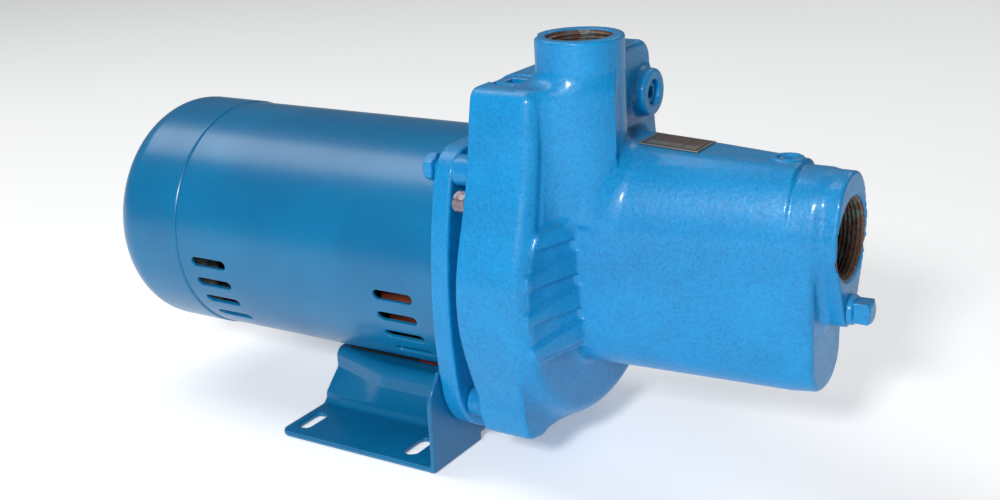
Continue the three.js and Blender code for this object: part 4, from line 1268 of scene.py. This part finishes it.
@dataclass
class Casing(Assembly):
    """The cast casing with its volute, jet body, ports, lugs and ribs, and every plug that closes it."""

    rear: float = 33.0
    front: float = 72.0
    radius: float = 90.0
    taper: float = 5.5
    near_corner: tuple[float, float, float] = (-59.0, 105.0, 7.0)
    far_corner: tuple[float, float, float] = (8.0, 92.0, 20.0)
    block_top: float = 112.05
    neck: tuple[float, float] = (76.9, -26.0)
    neck_radius: float = 23.6
    neck_top: float = 135.3
    neck_port: float = 16.9
    neck_bore: float = 14.0
    jet_stations: tuple[float, ...] = (66.0, 189.0, 203.5)
    jet_halves: tuple[float, ...] = (47.6, 28.3, 25.4)
    jet_bottoms: tuple[float, ...] = (-49.5, -50.5, -49.5)
    jet_corners: tuple[float, ...] = (30.0, 19.0, 18.0)
    jet_tops: tuple[float, ...] = (78.1, 71.8)
    jet_drop: float = 4.0
    jet_wide: float = 30.0
    jet_flat: float = 0.345
    suction: float = 215.1
    suction_height: float = 34.75
    suction_port: float = 21.2
    suction_throat: float = 18.5
    plug_height: float = -3.0
    tap: tuple[float, float, float] = (97.0, 19.7, 96.6)
    tap_radius: float = 13.0
    priming: tuple[float, float] = (45.5, -39.5)
    priming_radius: float = 10.4
    priming_top: float = 111.6
    vacuum: tuple[float, float] = (180.5, 1.5)
    vacuum_top: float = 73.8
    vacuum_radius: float = 8.0
    lug: tuple[float, float, float, float] = (62.0, -70.7, 11.5, 12.8)
    lug_front: float = 63.0
    lug_reach: float = 102.5
    rib_levels: tuple[float, ...] = (31.3, 11.5, -8.3, -28.1)
    bosses: Places = CASING_BOLTS
    boss_radius: float = 8.5

    def build(self) -> None:
        """Builds every piece of the sub-assembly."""
        low, high = (self.datum.local(c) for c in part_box("pump_casing"))
        skin = Mould(1.55).skin(self.body, low - 3.1, high + 3.1)
        self.settle(make_piece("casing_casting", skin, self.datum), "cast_paint", "pump_casing")
        self.build_threads()
        self.build_plugs()
        corner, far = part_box("rating_label")
        self.finishes.add(BlankPlate("label", tuple(corner), tuple(far)))

    def volute(self, x: Array, y: Array, z: Array) -> Array:
        """The drum and the block on top of it, with a slight hollow where the near side meets the drum."""
        drum_radius = self.radius - self.taper * np.clip((x - self.rear) / (self.front - self.rear), 0, 1)
        near, far = self.near_corner, self.far_corner
        outline = np.minimum(
            tapered(y, z, SHAFT, near, drum_radius, near[2]),
            np.minimum(
                tapered(y, z, SHAFT, far, drum_radius, far[2]), tapered(y, z, near, far, near[2], far[2]),
            ),
        )
        hollow, level, spread = 2.4, 64, 44
        swing = np.clip((z - level) / spread, -1, 1)
        outline = outline + hollow * (0.5 + 0.5 * np.cos(np.pi * swing)) * (y < 0)
        return blend_meet(blend_meet(outline, x - self.front, 7.5), self.rear - x, 2.2)

    def jet(self, x: Array, y: Array, z: Array) -> Array:
        """The long body: an egg that narrows forwards, with a flat sloping top that steps down near its end.

        Above its widest level a side is an oval cut off by the top; below, it leans in to a round corner.
        """
        rear, step, front = self.jet_stations
        half, bottom, corner = (np.interp(x, self.jet_stations, v)
                                for v in (self.jet_halves, self.jet_bottoms, self.jet_corners))
        drop = np.clip((x - step + 0.5) / 2.5, 0, 1)
        top = np.interp(x, (rear, step), self.jet_tops) - self.jet_drop * drop ** 2 * (3 - 2 * drop)
        off = z - self.jet_wide
        rise = (top - self.jet_wide) / math.sqrt(1 - self.jet_flat ** 2)
        ratio = np.hypot(y / half, off / rise)
        slope = np.hypot(y / half ** 2, off / rise ** 2)
        oval = ratio * (ratio - 1) / np.maximum(slope, 1e-6)
        side = np.where(off > 0, oval, (np.abs(y) - half + 0.07 * np.maximum(-off, 0)) * 0.99)
        body = blend_meet(blend_meet(side, z - top, 1.6), bottom - z, corner)
        return blend_meet(body, slab(x, self.front - 12, front), 2.6)

    def inlet(self, x: Array, y: Array, z: Array) -> Array:
        """Suction neck: a round top drawn down to a small lobe about the plug."""
        middle, wide = (0, 36.0), 24.3
        outline = np.minimum(
            tapered(y, z, middle, (0, 49.0), wide, 20.5),
            tapered(y, z, middle, (0, self.plug_height), wide, 9.6),
        )
        return bar(x, self.jet_stations[1] + 1.5, self.suction, outline, 1.4)

    def web(self, x: Array, y: Array, z: Array) -> Array:
        """Web in the corner between the block's near front edge and the neck's root, down to the ribs."""
        root, far, rear, bottom = -47.5, -36, 60, 34
        share = np.clip((z - 38) / 39, 0, 1)
        run = 6.0 + 7.0 * share
        rim = -66.0 + 6.0 * share
        rise = root - rim
        face = ((x - self.front) * rise - (y - rim) * run) / np.hypot(rise, run)
        web = blend_meet(blend_meet(face, z - self.block_top, 5.0), bottom - z, 4.0)
        return np.maximum(blend_meet(web, rim - y, 2.0), np.maximum(y - far, rear - x))

    def ribs(self, x: Array, side: Array, z: Array) -> Array:
        """Gussets between the volute's face and the jet, thicker towards the jet, with a low floor between.

        In plan each is a wedge that falls outwards from the jet to a tip on the volute's face.
        """
        tip, run, rise = 80, 33, 9.4
        wedge = ((x - 72.6) * run + (side - tip) * rise) / math.hypot(run, rise)
        plan = np.maximum(np.maximum(wedge, slab(side, 36, 82)), 66 - x)
        rim = np.hypot(side, z) - 81.5
        ribs = np.maximum(plan + 2.4, np.maximum(rim + 3, np.abs(z - 4) - 36))
        thick = 6.3 + 6.0 * np.clip((tip - side) / run, 0, 1)
        for level in self.rib_levels:
            upright = np.abs(z - level - thick / 2) - thick / 2
            ribs = blend_join(ribs, blend_meet(np.maximum(plan, rim), upright, 1.2), 1.4)
        return ribs

    def pad(self, y: Array, z: Array) -> Array:
        """Outline of the pad behind the pressure tapping: rounded on top, wider downwards on its far side."""
        near, far, spread, top = -20, 30, 8, 125
        reach = far + np.clip((113 - z) / 47, 0, 1) * spread
        return blend_meet(blend_meet(slab(y, near, reach), z - top, 12.0), 60 - z, 2.0)

    def lugs(self, y: Array, z: Array) -> Array:
        """Outline of the lower corners that the bolts pass through, each with an ear up the volute's side."""
        lug_y, lug_z, half_y, half_z = self.lug
        side = np.abs(y)
        plan = blend_meet(np.abs(side - lug_y) - half_y, np.abs(z - lug_z) - half_z, 6.0)
        plan = blend_meet(plan, np.hypot(y, z) - self.lug_reach, 5.0)
        tip = (lug_y + 1, lug_z - 2.5)
        ear = tapered(side, z, SHAFT, tip, self.radius - self.taper, self.boss_radius)
        return blend_join(plan, blend_meet(ear, z + 20, 8.0), 3.0)

    def body(self, p: Array) -> Array:
        """Distance to the whole casting: its bodies joined with fillets, less the bores."""
        x, y, z = p[..., 0], p[..., 1], p[..., 2]
        body = blend_join(self.volute(x, y, z), self.web(x, y, z), 2.5)
        body = blend_join(np.maximum(body, z - self.block_top), self.jet(x, y, z), 5.0)
        neck_side = drum(x, y, self.neck, self.neck_radius)
        body = blend_join(body, bar(z, 40, self.neck_top, neck_side, 1.6), 8.0)
        body = blend_join(body, bar(x, 66, 90, self.pad(y, z), 3.0), 5.0)
        tap_side = drum(y, z, self.tap[1:], self.tap_radius)
        body = blend_join(body, bar(x, 82, self.tap[0], tap_side, 2.0), 3.5)
        body = blend_join(body, self.inlet(x, y, z), 4.5)
        vacuum_side = drum(x, y, self.vacuum, self.vacuum_radius)
        body = blend_join(body, bar(z, 60, self.vacuum_top, vacuum_side, 0.9), 1.6)
        body = blend_join(body, bar(x, self.rear - 0.5, self.lug_front, self.lugs(y, z), 3.0), 5.0)
        for boss in self.bosses:
            front = 40 if boss[1] > 0 else 34
            body = blend_join(body, bar(x, 18.4, front, drum(y, z, boss, self.boss_radius), 1.0), 2.5)
        body = blend_join(body, self.ribs(x, np.abs(y), z), 2.5)
        for bore in self.bores(x, y, z):
            body = blend_meet(body, -bore, 1.0)
        return body

    def bores(self, x: Array, y: Array, z: Array) -> list[Array]:
        """Distances to the ports, the passages behind them and the holes of the plugs."""
        suction = drum(y, z, (0, self.suction_height), self.suction_port + 0.6)
        throat = drum(y, z, (0, self.suction_height), self.suction_throat)
        neck_port = drum(x, y, self.neck, self.neck_port + 0.6)
        neck_bore = drum(x, y, self.neck, self.neck_bore)
        return [
            np.maximum(suction, 193.1 - x), np.maximum(throat, 142 - x),
            np.maximum(neck_port, 115.3 - z), np.maximum(neck_bore, 62 - z),
            np.maximum(drum(x, y, self.priming, self.priming_radius + 0.3), 90 - z),
            np.maximum(drum(x, y, self.priming, self.priming_radius + 2.4), 111.1 - z),
            np.maximum(drum(x, y, self.vacuum, 5.5), 64 - z),
            np.maximum(drum(y, z, self.tap[1:], 6.7), 84 - x),
        ]

    def build_threads(self) -> None:
        """Threads of the suction and discharge ports."""
        suction, discharge = PipeThread(self.suction_port, 21.0), PipeThread(self.neck_port, 19.0)
        for name, thread, axis, centre, face in (
            ("suction_thread", suction, Axis.X, (0, 0, self.suction_height), self.suction),
            ("discharge_thread", discharge, Axis.Z, (*self.neck, 0), self.neck_top),
        ):
            skin = thread.skin(axis, centre, face - 0.9, -1.0)
            self.settle(make_piece(name, skin, self.datum), "cast_paint", finish="port_thread")

    def build_plugs(self) -> None:
        """The four plugs: priming, vacuum tapping, pressure tapping and the square-headed one in front."""
        px, py = self.priming
        rings = socket_plug(self.priming_top, 104.0, 98.0, self.priming_radius, 4.8, 4)
        self.turn("priming_plug_body", "cast_paint", "priming_plug", rings, Axis.Z, (px, py, 0))
        vx, vy = self.vacuum
        rings = socket_plug(self.vacuum_top - 0.7, self.vacuum_top - 6, self.vacuum_top - 9.5, 5.2, 2.5, 6)
        self.turn("vacuum_plug_body", "cast_paint", "vacuum_tapping_plug", rings, Axis.Z, (vx, vy, 0))
        tx, ty, tz = self.tap
        rings = socket_plug(tx - 2.4, 90.0, 84.0, 6.4, 3.2, 6)
        self.turn("pressure_plug_body", "cast_paint", "pressure_tapping_plug", rings, Axis.X, (0, ty, tz))
        tip = self.datum.local(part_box("front_plug")[1])[0]
        flat, shank, tail, seat = 5.5, 5.2, 201.0, self.suction
        rings = chamfered_flats(tip, -1.0, 2 * flat, 4, 1.1)
        rings += [
            Turn(seat + 3.6, flat, 4, 7.4), Turn(seat + 3.0, 7.6), Turn(seat + 2.2, 8.0),
            Turn(seat + 0.3, 8.0), Turn(seat + 0.3, shank), Turn(tail, shank), Turn(tail, 0.0),
        ]
        self.turn("front_plug_body", "cast_paint", "front_plug", rings, Axis.X, (0, 0, self.plug_height))


class CarriedOver:
    """CAD nodes that stay as they are, each with the finish of its material slot."""

    def __init__(self, frame: dict, finishes: Finishes) -> None:
        """Keeps the frame and the finishes."""
        self.frame = frame
        self.finishes = finishes

    def dress(self) -> None:
        """Gives every node still shown the finish that the record's material slot names."""
        slots = {part["node"]: part["material_slot"] for part in self.frame["record"]["subparts"]}
        for name, node in sorted(self.frame["nodes"].items()):
            if not node.hide_render:
                self.finishes.dress(node, slots[name])
                LOG.info("%s keeps its CAD shape in %s", name, slots[name])


# Studio -----------------------------------------------------------------------------------------------------


@dataclass(frozen=True)
class Lamp:
    """A soft rectangular light that looks at a point over the floor."""

    name: str
    place: tuple[float, float, float]
    size: tuple[float, float]
    power: float
    colour: Colour = (1.0, 1.0, 1.0)
    target: tuple[float, float, float] = (0.0, 0.0, 0.1)

    def build(self) -> None:
        """Adds the light."""
        data = bpy.data.lights.new(self.name, "AREA")
        data.shape = "RECTANGLE"
        data.size, data.size_y = self.size
        data.energy = self.power
        data.color = self.colour
        lamp = bpy.data.objects.new(self.name, data)
        lamp.location = self.place
        aim = Vector(self.target) - Vector(self.place)
        lamp.rotation_euler = aim.to_track_quat("-Z", "Y").to_euler()
        bpy.context.scene.collection.objects.link(lamp)


@dataclass
class Studio:
    """Camera, lights and the pale floor."""

    place: tuple[float, float, float] = (0.4357, -0.6516, 0.3729)
    azimuth: float = 32.94
    elevation: float = 18.81
    roll: float = -3.05
    lens: float = 50.4
    air: Colour = (0.93, 0.97, 1.0)
    air_strength: float = 0.17
    floor_tones: tuple[Colour, Colour] = ((0.87, 0.875, 0.88), (0.89, 0.89, 0.89))
    floor_glow: float = 0.36
    lamps: tuple[Lamp, ...] = (
        Lamp("strip", (-1.08, -0.11, 1.8), (0.8, 1.6), 16.0),
        Lamp("flash", (0.34, -1.22, 0.78), (0.24, 0.18), 15.0),
        Lamp("far", (0.5, 1.6, 1.6), (1.2, 0.8), 6.0),
    )

    def build(self) -> None:
        """Builds the whole studio."""
        self.build_camera()
        self.build_floor()
        for lamp in self.lamps:
            lamp.build()
        world = bpy.data.worlds.new("studio_air")
        bpy.context.scene.world = world
        world.use_nodes = True
        background = world.node_tree.nodes["Background"]
        background.inputs[0].default_value = (*self.air, 1.0)
        background.inputs[1].default_value = self.air_strength
        bpy.context.scene.view_settings.view_transform = "Standard"

    def build_camera(self) -> None:
        """Aims the camera by its azimuth, elevation and roll, kept level by the same three turns."""
        a, e, r = (math.radians(v) for v in (self.azimuth, self.elevation, self.roll))
        back = Vector((math.sin(a) * math.cos(e), -math.cos(a) * math.cos(e), math.sin(e)))
        right = Vector((math.cos(a), math.sin(a), 0.0))
        up = back.cross(right)
        turned_right = math.cos(r) * right + math.sin(r) * up
        turned_up = math.cos(r) * up - math.sin(r) * right
        data = bpy.data.cameras.new("camera")
        data.lens = self.lens
        data.clip_start = 0.02
        camera = bpy.data.objects.new("camera", data)
        basis = Matrix((turned_right, turned_up, back)).transposed().to_4x4()
        camera.matrix_world = Matrix.Translation(self.place) @ basis
        bpy.context.scene.collection.objects.link(camera)
        bpy.context.scene.camera = camera

    def build_floor(self) -> None:
        """A wide round floor: rings about the middle, closed at it."""
        angle = np.linspace(0, 2 * np.pi, 64, endpoint=False)[None, :]
        reach = np.array([0.0, 400, 1200, 4000, 12000])[:, None]
        level = np.broadcast_arrays(reach * np.cos(angle), reach * np.sin(angle), 0 * reach)
        points = np.stack(level, axis=-1)
        floor = make_piece("floor", Skin.grid(points, close_v=True), Datum(0.0, -0.0003))
        s = Shader("floor_paper")
        tone = s.mix(s.noise(300, 3), *self.floor_tones)
        floor.data.materials.append(s.done(
            Base_Color=tone, Roughness=0.9, Emission_Color=tone, Emission_Strength=self.floor_glow,
        ))


def main() -> None:
    """Builds the pump's sub-assemblies in order, then the studio."""
    logging.basicConfig(level=logging.INFO, format="%(message)s")
    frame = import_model()
    datum = Datum.from_frame()
    finishes = Finishes()
    for assembly in (Motor, Mounting, Adapter, Casing):
        LOG.info("building %s", assembly.__name__)
        assembly(datum, finishes).build()
    CarriedOver(frame, finishes).dress()
    Studio().build()


if __name__ == "__main__":
    main()
